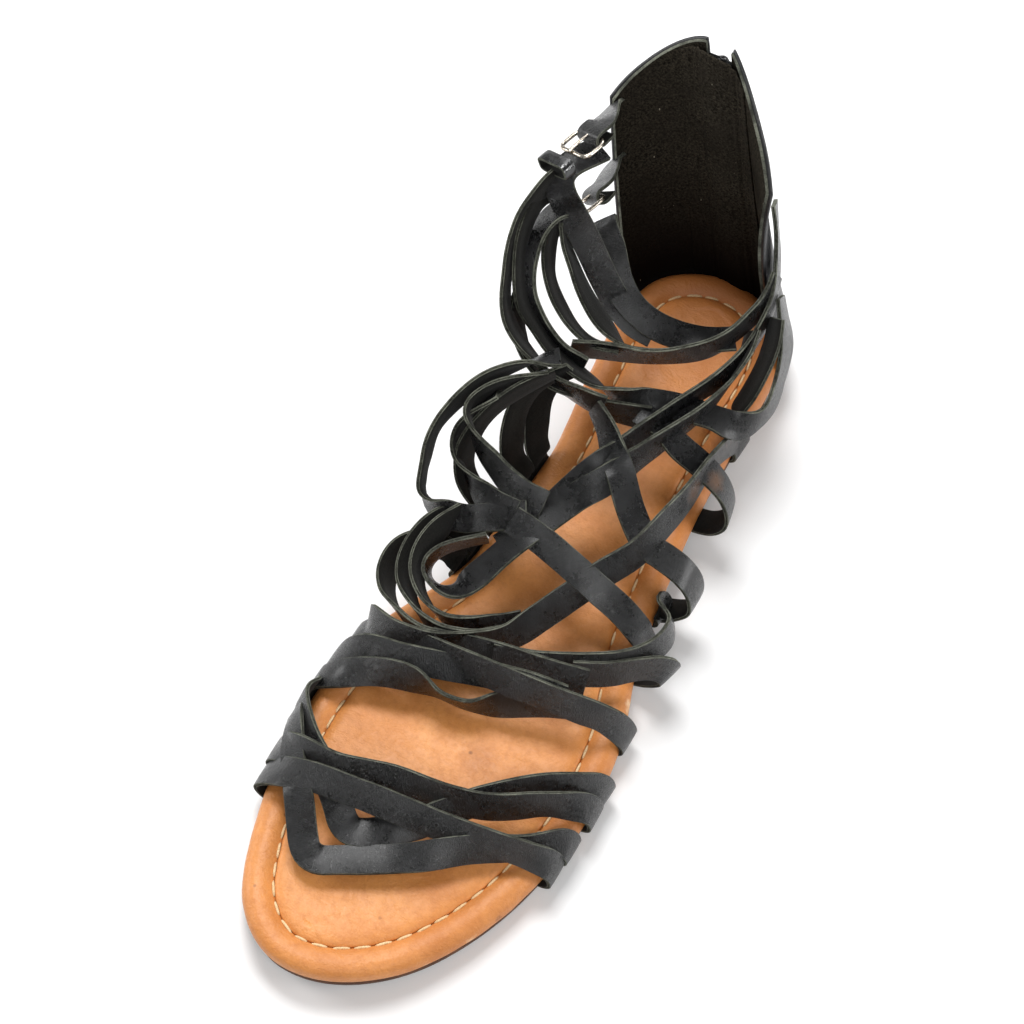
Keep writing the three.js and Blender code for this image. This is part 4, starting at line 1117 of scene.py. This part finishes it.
            (66, -24, 51, -156), (61.5, -16, 50, -158), (59, -10.4, 49.5, -160), (55.3, -2.6, 49, -160),
            (50.4, 4.4, 49, -148), (44.4, 10.6, 49.3, -98), (37.5, 14.4, 50, -55), (31, 16.2, 50.5, -52),
            (25.5, 17.6, 51.5, -57), (20.5, 17.8, 53.4, -59), (16, 17, 55.4, -59),
        ),
    },
    "heel_outer_wrap": {
        "from": (OUTER, 51, TIGHT),
        "route": (
            (50, 23.4, 29), (45, 24.4, 33), (40, 25, 37), (34, 25, 41.8), (29, 24, 46), (25.5, 22.4, 49),
        ),
    },
}


LIFTS = {  # small shifts outward in mm, for straps that lie on top of others
    "toe_front": 0.5, "toe_back": 0.1, "instep_link": 0.6, "heel_outer_loop": 0.5, "waist_low": 0.3,
    "ankle_long_wrap": 0.3, "ankle_outer_loop": 0.2,
}


# ---------------------------------------------------------------- counter
LEAN_START = 17
LEAN = {"along": -0.03, "across": -0.17}
DRAW_START, DRAW_SPAN = 0.1, 1.05
HALVES = {
    "inner": {"side": INNER, "front_low": 23, "front_high": 14, "flare": 0.08, "draw": 0, "hollow": 0},
    "outer": {"side": OUTER, "front_low": 22, "front_high": 17, "flare": 0, "draw": 5.8, "hollow": 2.8},
}


def lean_at(up):
    rise = max(0.0, up - LEAN_START)
    return np.array([LEAN["across"] * rise, -LEAN["along"] * rise, 0])


def counter_point(half, reach, rise, depth):
    """reach runs from 0 at the zip to 1 at the front edge, rise from 0 at the foot to 1 at the top."""
    front = outline_angle(half["front_low"]) * (1 - rise) + outline_angle(half["front_high"]) * rise
    zip_edge = ZIP_HALF_OPENING / HEEL_ROUNDNESS
    angle = zip_edge * (1 - reach) + front * reach
    top = COUNTER_TOP + (COUNTER_CORNER - COUNTER_TOP) * reach**1.3
    foot = sole_joint(0) + 2 * GAP
    up = foot * (1 - rise) + top * rise
    spread = half["flare"] * reach * max(0.0, up - LEAN_START)
    spread -= half["draw"] * reach * math.sin(math.pi * max(0.0, rise - DRAW_START) / DRAW_SPAN)
    spread -= half["hollow"] * 4 * reach * (1 - reach) * rise**2
    along, across = outline_point(half["side"], angle, 2 * GAP + depth + spread)
    return place(along, across, up) + lean_at(up)


OUTSIDE, RIM_EDGE, LINING = 0, 1, 2
SHELL_ROWS = (  # depth through the wall, drawn in from the border, material of the side that follows
    (0.1, 0.45, LINING), (0.0, 0.0, RIM_EDGE), (0.75, -0.25, RIM_EDGE), (0.95, 0.1, OUTSIDE),
    (1.2, -0.35, OUTSIDE), (1.75, -0.4, OUTSIDE), (2.15, 0.0, OUTSIDE), (2.2, 0.5, OUTSIDE),
)


def wall_wave(half, reach, rise, seed):
    """Soft vertical folds of the lining beside the zip, and slow waves elsewhere."""
    folds = 0.35 * math.exp(-((reach - 0.2) / 0.12) ** 2) * math.sin(reach * 46 + 3 * rise + seed)
    slow = 0.5 * noise.noise(Vector((reach * 3, rise * 3.5, seed)))
    border = min(1.0, 8 * min(reach, 1 - reach, rise, 1 - rise))
    return border * (folds + slow)


def border_walk(columns, rows):
    """(column, row) of every border place of a grid, going once round."""
    walk = [(c, 0) for c in range(columns)]
    walk += [(columns, r) for r in range(rows)]
    walk += [(c, rows) for c in range(columns, 0, -1)]
    walk += [(0, r) for r in range(rows, 0, -1)]
    return walk


def build_counter_half(name, paints, columns=44, rows=56):
    """One half of the counter: lining, outside, and a rolled cut edge all round."""
    half = HALVES[name]
    shape = Shape()
    seed = 2.0 if name == "inner" else 6.0

    def spot(column, row, depth, drawn=0.0):
        reach, rise = column / columns, row / rows
        point = counter_point(half, reach, rise, depth + wall_wave(half, reach, rise, seed) * 0.6)
        if drawn:
            near_reach = reach + 0.02 * ((column == 0) - (column == columns))
            near_rise = rise + 0.02 * ((row == 0) - (row == rows))
            near = counter_point(half, near_reach, near_rise, depth)
            if np.linalg.norm(near - point) > 1e-6:
                point = point + unit(near - point) * drawn
        return point

    flip = half["side"] == OUTER
    for depth, mark, outward in ((0.1, LINING, False), (COUNTER_THICKNESS, OUTSIDE, True)):
        drawn = SHELL_ROWS[-1][1] if outward else SHELL_ROWS[0][1]
        points = []
        for row in range(rows + 1):
            for column in range(columns + 1):
                edge = column in (0, columns) or row in (0, rows)
                points.append(spot(column, row, depth, drawn if edge else 0.0))
        shape.add(points, grid_faces(columns, rows, outward == flip), mark)
    walk = border_walk(columns, rows)
    ring_points = [spot(c, r, depth, drawn) for depth, drawn, _ in SHELL_ROWS for c, r in walk]
    faces = tube_faces(len(SHELL_ROWS), len(walk), closed_ends=False)
    marks = [mark for _, _, mark in SHELL_ROWS[:-1] for _ in walk]
    shape.add(ring_points, faces if flip else [f[::-1] for f in faces], marks)
    piece = shape.piece(f"counter_{name}_shell", [paints["outside"], paints["edge"], paints["lining"]])
    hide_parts(f"counter_{name}_half")


GUARD_THICKNESS = 0.45


def build_guard(paints, columns=46, rows=60):
    """The lining that covers the zip on the inside, with soft upright folds."""
    shape = Shape()
    inner, outer = HALVES["inner"], HALVES["outer"]

    def spot(share, rise, depth):
        half, reach = (inner, -share * 0.34) if share < 0 else (outer, share * 0.3)
        near = math.exp(-((share / 0.34) ** 2))
        fold = 0.5 * math.sin(share * 23 + 1.8 * math.sin(3 * rise))
        fold += 0.4 * noise.noise(Vector((share * 6, rise * 5, 3)))
        inward = 0.35 + 1.9 * near + (0.55 * (1 - share * share)) * (1 + fold)
        point = counter_point(half, max(reach - 0.02, 0.0), rise, depth - inward)
        if abs(share) < 0.06:
            other = counter_point(outer if half is inner else inner, 0.0, rise, depth - inward)
            point = point + (other - point) * (0.5 - abs(share) / 0.12)
        return point

    def spots(places, depth):
        return [spot(-1 + 2 * c / columns, 0.015 + 0.975 * r / rows, depth) for c, r in places]

    grid = [(c, r) for r in range(rows + 1) for c in range(columns + 1)]
    shape.add(spots(grid, 0.0), grid_faces(columns, rows, True), 0)
    shape.add(spots(grid, GUARD_THICKNESS), grid_faces(columns, rows, False), 0)
    walk = border_walk(columns, rows)
    rims = spots(walk, 0.0) + spots(walk, GUARD_THICKNESS)
    shape.add(rims, [f[::-1] for f in tube_faces(2, len(walk), closed_ends=False)], 0)
    piece = shape.piece("zip_guard_lining", [paints["lining"]])


COUNTER_STITCH = {"radius": 0.26, "arch": 0.2, "sides": 5, "steps": 4}


def build_counter_stitches(paints):
    """Black stitches on the outside, beside the zip and along the top edge."""
    shape = Shape()
    depth = COUNTER_THICKNESS + 0.1
    reach, low, high, count = 0.09, 0.1, 0.97, 30
    pitch = (high - low) / count
    top, top_low, top_span, top_count = 0.972, 0.06, 0.9, 26
    for half in HALVES.values():
        for k in range(count):
            a = low + pitch * k
            start, end = (counter_point(half, reach, rise, depth) for rise in (a, a + pitch * 0.68))
            out = unit(counter_point(half, reach, a, depth + 1) - start)
            stitch(shape, start, end, out, **COUNTER_STITCH)
        for k in range(top_count):
            a, b = (top_low + top_span * step / top_count for step in (k, k + 0.66))
            start, end = (counter_point(half, at, top, depth) for at in (a, b))
            out = unit(counter_point(half, a, 0.97, 3) - counter_point(half, a, 0.97, 2))
            stitch(shape, start, end, out, **COUNTER_STITCH)
    shape.piece("counter_stitches", [paints["black_thread"]])


# ---------------------------------------------------------------- zip
ZIP = {"foot": 15.5, "top": 113, "offset": 2 * GAP + COUNTER_THICKNESS / 2, "tape": 5.6, "slider": 105}


def zip_point(up, across=0.0, out=0.0):
    along, middle = outline_point(OUTER, 0)
    return place(along - ZIP["offset"] - out, middle + across, up) + lean_at(up)


def build_zip(paints):
    tape = Shape()
    rows = 60
    for side in (INNER, OUTER):
        points = []
        for k in range(rows + 1):
            up = ZIP["foot"] + (ZIP["top"] - ZIP["foot"]) * k / rows
            for across, out in ((0.25, 0.25), (0.25, -0.25), (ZIP["tape"], -0.55), (ZIP["tape"], -0.1)):
                points.append(zip_point(up, side * across, out))
        faces = tube_faces(rows + 1, 4)
        tape.add(points, faces if side == INNER else [f[::-1] for f in faces], 0)
    piece = tape.piece("zip_tapes", [paints["tape"]])

    coil = Shape()
    pitch = 1.25
    count = int((ZIP["top"] - ZIP["foot"]) / pitch)
    for k in range(count):
        for side in (INNER, OUTER):
            up = ZIP["foot"] + 0.5 + pitch * (k + (0.5 if side == OUTER else 0))
            guides = [
                zip_point(up - 0.18, side * 2.0, 0.1), zip_point(up - 0.1, side * 1.2, 0.72),
                zip_point(up, side * 0.15, 0.8), zip_point(up, -side * 0.55, 0.42),
                zip_point(up + 0.1, -side * 0.2, -0.3), zip_point(up + 0.25, side * 1.3, -0.45),
            ]
            add_wire(coil, guides, 0.31, sides=6, step=0.8)
    piece = coil.piece("zip_coils", [paints["coil"]])
    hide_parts("zip_chain")


def add_wire(shape, guides, radius, sides=8, step=0.5, closed=False, flat=1.0, face=None):
    """Round wire through guides. flat squashes it along its face."""
    guides = [np.asarray(g, float) for g in guides]
    if closed:
        guides = [*guides, guides[0]]
    middle, _ = catmull_rom(guides, step)
    if closed:
        middle = middle[:-1]
    count = len(middle)
    points = []
    side_way = None
    for k in range(count):
        after = middle[(k + 1) % count] if closed or k + 1 < count else middle[k]
        before = middle[k - 1] if closed or k > 0 else middle[k]
        run = unit(after - before)
        if face is not None:
            out = unit(face - np.dot(face, run) * run)
            side_way = np.cross(run, out)
        elif side_way is None:
            side_way = unit(np.cross(run, (0.3, 0.2, 1)))
        side_way = unit(side_way - np.dot(side_way, run) * run)
        out = np.cross(side_way, run)
        for i in range(sides):
            a = 2 * math.pi * i / sides
            points.append(middle[k] + radius * (math.cos(a) * side_way + flat * math.sin(a) * out))
    shape.add(points, loop_faces(count, sides) if closed else tube_faces(count, sides), 0)


ZIP_UP = unit(zip_point(ZIP["top"]) - zip_point(LEAN_START))
ZIP_ACROSS = unit(np.cross((0, 1, 0), ZIP_UP))
ZIP_OUT = np.cross(ZIP_UP, ZIP_ACROSS)
CROWN_OUT = 3.7  # how far the tab's plate lies out from the middle of the zip


def zip_local(x, y, z):
    """A place in the slider's own frame: x across the zip, y out of the shoe, z up the zip."""
    return zip_point(ZIP["slider"]) + x * ZIP_ACROSS + y * ZIP_OUT + z * ZIP_UP


def rounded_section(length, height, corner, steps=5):
    points = []
    for quarter, (sx, sy) in enumerate(((1, 1), (-1, 1), (-1, -1), (1, -1))):
        for k in range(steps + 1):
            a = math.pi / 2 * (quarter + k / steps)
            x = sx * (length / 2 - corner) + corner * math.cos(a)
            points.append((x, sy * (height / 2 - corner) + corner * math.sin(a)))
    return points


def build_slider(paints):
    """Slider body: two rounded plates with a waist, joined at its top, and a crown for the tab."""
    shape = Shape()
    thick = 0.65
    outline = slider_outline()
    for out in (1.75, -1.75):
        layers = ((-thick, 0.9), (-thick * 0.9, 1.0), (thick * 0.6, 1.0), (thick, 0.86))
        rings = [
            [zip_local(x * size, out + math.copysign(lift, out), z * (size + 1) / 2) for x, z in outline]
            for lift, size in layers
        ]
        faces = tube_faces(len(rings), len(rings[0]))
        shape.add(flat_points(rings), faces if out < 0 else [f[::-1] for f in faces], 0)
    for side in (INNER, OUTER):
        add_wire(shape, [zip_local(side * 3.0, y, 2.9) for y in (-1.8, -0.6, 0.6, 1.8)], 0.55)
        rail = ((-4.2, 2.2), (-2, 2.3), (0, 2.3), (3.5, 2.2))
        add_wire(shape, [zip_local(side * 2.95, 0.8 * y, z) for z, y in rail], 0.35)
    arch = [math.pi * k / 12 for k in range(13)]
    crown = [zip_local(0, 2.1 + 2.9 * math.sin(a), 2.6 * math.cos(a)) for a in arch]
    add_wire(shape, crown, 0.62, sides=10)
    piece = shape.piece("zip_slider_body", [paints["zip_metal"]])
    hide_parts("zip_slider")


def slider_outline():
    """Outline of the slider's plate: broad and round at the top, narrower below, with a soft waist."""
    rows = [
        (0.0, 4.4), (1.6, 4.3), (2.8, 3.6), (3.3, 2.2), (3.25, 0.4), (2.75, -1.4), (2.6, -3.2), (2.3, -4.1),
        (1.2, -4.45), (0, -4.5),
    ]
    return rows + [(-x, z) for x, z in rows[-2:0:-1]]


PULL = {"width": 5.2, "length": 16, "thickness": 1.1, "bar": 0.55}


def build_pull(paints):
    """Pull tab: a rounded plate with an eye round the crown."""
    shape = Shape()
    outer, inner = [], []
    steps = 44
    low = PULL["bar"] - PULL["length"]
    for k in range(steps):
        a = 2 * math.pi * k / steps
        c, s = math.cos(a), math.sin(a)
        x = math.copysign(abs(c) ** 0.62, c)
        z = math.copysign(abs(s) ** 0.75, s)
        narrow = 1 - 0.22 * math.exp(-(((z + 0.25) / 0.4) ** 2)) if z < 0.8 else 1
        outer.append((x * PULL["width"] / 2 * narrow, (PULL["bar"] + low) / 2 + z * (PULL["length"] / 2)))
        inner.append((x * 1.35, -2.05 + z * 1.5))
    half = PULL["thickness"] / 2
    rounding = ((-half, 0.9), (-half * 0.6, 1.0), (half * 0.6, 1.0), (half, 0.9))

    def plate(points, size, out):
        cx, cz = np.mean(points, axis=0)
        tall = 1 + (size - 1) * 0.35
        return [zip_local(cx + (x - cx) * size, CROWN_OUT + out, cz + (z - cz) * tall) for x, z in points]

    rings = [plate(inner, 1.0, -half * 0.6), plate(inner, 1.12, -half)]
    rings += [plate(outer, size, out) for out, size in rounding]
    rings += [plate(inner, 1.12, half), plate(inner, 1.0, half * 0.6), plate(inner, 1.0, -half * 0.6)]
    shape.add(flat_points(rings), tube_faces(len(rings), steps, closed_ends=False), 0)
    piece = shape.piece("zip_pull_plate", [paints["zip_metal"]], body="zip_pull")
    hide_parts("zip_pull_tab")


# ---------------------------------------------------------------- buckles
BUCKLE = {"length": 9.6, "height": 12.4, "wire": 1.3, "corner": 2.2}
BAR_X = -BUCKLE["length"] / 2 + BUCKLE["wire"] / 2
BUCKLES = {
    "upper": {"spot": (30.4, -41.8, 96.6), "yaw": 15, "tilt": 66, "tab_rise": 0.93},
    "lower": {"spot": (32.4, -38.6, 71), "yaw": 15, "tilt": 42, "tab_rise": 0.69},
}


def round_bar(radius, degrees):
    """Places round the buckle's bar, in the plane square to it."""
    angles = [math.radians(a) for a in degrees]
    return [(BAR_X + radius * math.cos(a), radius * math.sin(a)) for a in angles]


def buckle_frame(buckle):
    """Places in a buckle's own frame: x towards its tip, y along its bar, z out of its face."""
    turn, tilt = math.radians(buckle["yaw"]), math.radians(buckle["tilt"])
    forward = np.array([-math.sin(turn), -math.cos(turn), 0])
    side = np.cross(forward, (0, 0, 1.0))
    high = np.array([0, 0, math.cos(tilt)]) - side * math.sin(tilt)
    out = np.cross(forward, high)
    origin = place(*buckle["spot"])
    return lambda x, y, z: origin + x * forward + y * high + z * out


def build_buckle(name, paints):
    """Frame, prong, the tab that holds its bar, and the keeper on the strap past its tip."""
    buckle = BUCKLES[name]
    local = buckle_frame(buckle)
    out = local(0, 0, 1) - local(0, 0, 0)
    wire = BUCKLE["wire"]

    shape = Shape()
    outline = rounded_section(BUCKLE["length"] - wire, BUCKLE["height"] - wire, BUCKLE["corner"])
    bowed = [local(x, y, 0.35 * math.cos(y / BUCKLE["height"] * math.pi) - 0.1) for x, y in outline]
    add_wire(shape, bowed, wire / 2, sides=12, step=0.45, closed=True, flat=0.9, face=out)
    piece = shape.piece(f"buckle_{name}_frame_shaped", [paints["metal"]])
    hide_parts(f"buckle_{name}_frame")

    shape = Shape()
    hook = round_bar(1.45, (-70, -110, -150, 170, 130, 95))
    tip = BUCKLE["length"] / 2
    path = [*hook, (BAR_X + 2.4, 1.45), (0.5, 1.5), (tip - 1.2, 1.3), (tip + 0.4, 1.0)]
    add_wire(shape, [local(x, 0, z) for x, z in path], 0.6, sides=10, step=0.4, flat=0.75)
    piece = shape.piece(f"buckle_{name}_prong_shaped", [paints["metal"]])
    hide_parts(f"buckle_{name}_prong")

    tab = Shape()
    half = HALVES["inner"]
    root = counter_point(half, 0.86, buckle["tab_rise"], COUNTER_THICKNESS * 0.6)
    sewn = counter_point(half, 0.95, buckle["tab_rise"], COUNTER_THICKNESS + 0.5)
    bend = round_bar(1.9, (90, 45, 0, -45, -90))
    rows = [(BAR_X - 4, 1.9), *bend, (BAR_X - 2.6, -1.7), (BAR_X - 4.2, -1.4)]
    guides = [(root, np.array([-1.0, 0, 0])), (sewn, unit(np.array([-1.0, 0, 0.5])))]
    for x, z in rows:
        way = local(max(x - BAR_X, 0), 0, z) - local(0, 0, 0)
        guides.append((local(x, 0, z), unit(way)))
    add_band(tab, guides, 8.4, 1.1)
    piece = tab.piece(f"buckle_{name}_tab", strap_paints(paints))

    keeper = Shape()
    x = BUCKLE["length"] / 2 + 5.5
    section = rounded_section(6.6, 10.6, 1.6, steps=3)
    loop = [local(x, y, z * 0.62 + 0.1) for z, y in section]
    add_band_loop(keeper, loop, local(1, 0, 0) - local(0, 0, 0), 4.2, 0.9)
    piece = keeper.piece(f"buckle_{name}_keeper", strap_paints(paints))


def add_band(shape, guides, width, thickness):
    """A short leather band through (point, face) guides."""
    middle, _, wide, out, reach = strip_frames(guides, 0.8)
    section = strap_section(width, thickness)
    ring_points = [middle[k] + wide[k] * a + out[k] * t for k in range(len(middle)) for a, t, _ in section]
    uvs = [(reach[k] + 300, a) for k in range(len(middle)) for a, _, _ in section]
    marks = [mark for _ in middle[1:] for _, _, mark in section] + [EDGE, EDGE]
    shape.add(ring_points, tube_faces(len(middle), len(section)), marks, uvs)


def add_band_loop(shape, loop, axis, width, thickness):
    """A closed leather loop round an axis."""
    loop = [np.asarray(p) for p in loop]
    centre = np.mean(loop, axis=0)
    section = strap_section(width, thickness)
    points, count = [], len(loop)
    for k, spot in enumerate(loop):
        run = unit(loop[(k + 1) % count] - loop[k - 1])
        out = unit(np.cross(run, axis))
        out = out if np.dot(out, spot - centre) > 0 else -out
        wide = np.cross(run, out)
        points.extend(spot + wide * a + out * t for a, t, _ in section)
    marks = [mark for _ in range(count) for _, _, mark in section]
    shape.add(points, loop_faces(count, len(section)), marks)


# ---------------------------------------------------------------- studio
# The camera looks down at about 63 degrees, from 30 degrees round towards the outer side
CAMERA_AT = np.array([154.32, -380.92, 699.94])
CAMERA_ROLL = 0.73
CAMERA_LENS = 91.265625  # mm, on a sensor 36 mm wide
SENSOR_WIDTH = 36
AIM = np.array([-24.7, -66.1, 0.0])


def look_from(spot, back, up_hint=(0, 0, 1), roll=0.0):
    """World matrix of a camera at spot that looks against back."""
    back = unit(np.asarray(back, float))
    right = unit(np.cross(up_hint, back))
    up = np.cross(back, right)
    turn = math.radians(roll)
    right, up = right * math.cos(turn) + up * math.sin(turn), up * math.cos(turn) - right * math.sin(turn)
    matrix = Matrix([[right[i], up[i], back[i], spot[i] * MM] for i in range(3)] + [[0, 0, 0, 1]])
    return matrix


def build_camera():
    data = bpy.data.cameras.new("camera")
    camera = bpy.data.objects.new("camera", data)
    bpy.context.scene.collection.objects.link(camera)
    camera.matrix_world = look_from(CAMERA_AT, CAMERA_AT - AIM, roll=CAMERA_ROLL)
    data.lens = CAMERA_LENS
    data.sensor_width = SENSOR_WIDTH
    data.clip_start, data.clip_end = 0.01, 20
    bpy.context.scene.camera = camera


def build_floor():
    half, level = 3.0, -0.0002
    corners = [(x * half, y * half, level) for x, y in ((-1, -1), (1, -1), (1, 1), (-1, 1))]
    mesh = bpy.data.meshes.new("floor")
    mesh.from_pydata(corners, [], [(0, 1, 2, 3)])
    paint = Paint("pale_floor", Specular_IOR_Level=0.2, Roughness=0.9)
    cloud = paint.noise(300, detail=2)
    paint.color(paint.mix(cloud, (0.9, 0.9, 0.9, 1), (0.93, 0.93, 0.93, 1)))
    mesh.materials.append(paint.material)
    floor = bpy.data.objects.new("floor", mesh)
    bpy.context.scene.collection.objects.link(floor)


SOFTBOXES = {
    "softbox_main": {"spot": (-0.3, 0.26, 1.0), "aim": (0, -0.06, 0.03), "size": (0.5, 0.36), "power": 9},
    "softbox_fill": {"spot": (0.35, -0.55, 0.95), "aim": (0, -0.06, 0.03), "size": (0.6, 0.5), "power": 3.4},
    "softbox_back": {"spot": (-0.4, 0.7, 0.6), "aim": (0, -0.06, 0.03), "size": (0.4, 0.2), "power": 2.5},
    "softbox_right": {"spot": (0.85, 0.15, 0.35), "aim": (0, -0.06, 0.05), "size": (0.25, 0.3), "power": 3},
    "softbox_left": {"spot": (-0.85, -0.25, 0.4), "aim": (0, -0.06, 0.05), "size": (0.25, 0.3), "power": 3},
}
SKY_STRENGTH = 0.27


def add_light(name, spot, aim, size, power):
    """A rectangular softbox at a spot in metres, turned to its aim."""
    data = bpy.data.lights.new(name, "AREA")
    data.shape = "RECTANGLE"
    data.size, data.size_y = size
    data.energy = power
    light = bpy.data.objects.new(name, data)
    bpy.context.scene.collection.objects.link(light)
    spot = np.array(spot, float)
    light.matrix_world = look_from(spot / MM, spot - np.array(aim, float), up_hint=(0, 1, 0.01))


def build_light():
    world = bpy.data.worlds.new("studio")
    bpy.context.scene.world = world
    world.use_nodes = True
    background = world.node_tree.nodes["Background"]
    background.inputs["Color"].default_value = (1.0, 1.0, 1.0, 1)
    background.inputs["Strength"].default_value = SKY_STRENGTH
    for name, light in SOFTBOXES.items():
        add_light(name, **light)
    scene = bpy.context.scene
    scene.view_settings.view_transform = "Standard"
    scene.view_settings.look = "None"


def main():
    paints = {
        "strap_top": strap_top_paint(),
        "strap_back": strap_back_paint(),
        "edge": cut_edge_paint(),
        "core": edge_core_paint(),
        "outside": counter_outside_paint(),
        "lining": lining_paint(),
        "rim": tan_paint("footbed_tan", False),
        "panel": tan_paint("panel_tan", True),
        "cream_thread": thread_paint("cream_thread", shade(238, 208, 164), shade(206, 168, 118)),
        "black_thread": thread_paint("black_thread", shade(30, 30, 30), shade(14, 14, 14)),
        "rubber": rubber_paint(),
        "metal": metal_paint("buckle_nickel", shade(214, 206, 194)),
        "zip_metal": metal_paint("zip_nickel", shade(206, 200, 190)),
        "tape": tape_paint(),
        "coil": coil_paint(),
    }
    build_camera()
    build_floor()
    build_light()
    build_sole(paints)
    build_sole_stitches(paints)
    build_straps(paints)
    for name in HALVES:
        build_counter_half(name, paints)
    build_guard(paints)
    build_counter_stitches(paints)
    build_zip(paints)
    build_slider(paints)
    build_pull(paints)
    for name in BUCKLES:
        build_buckle(name, paints)


main()
bpy.context.view_layer.update()
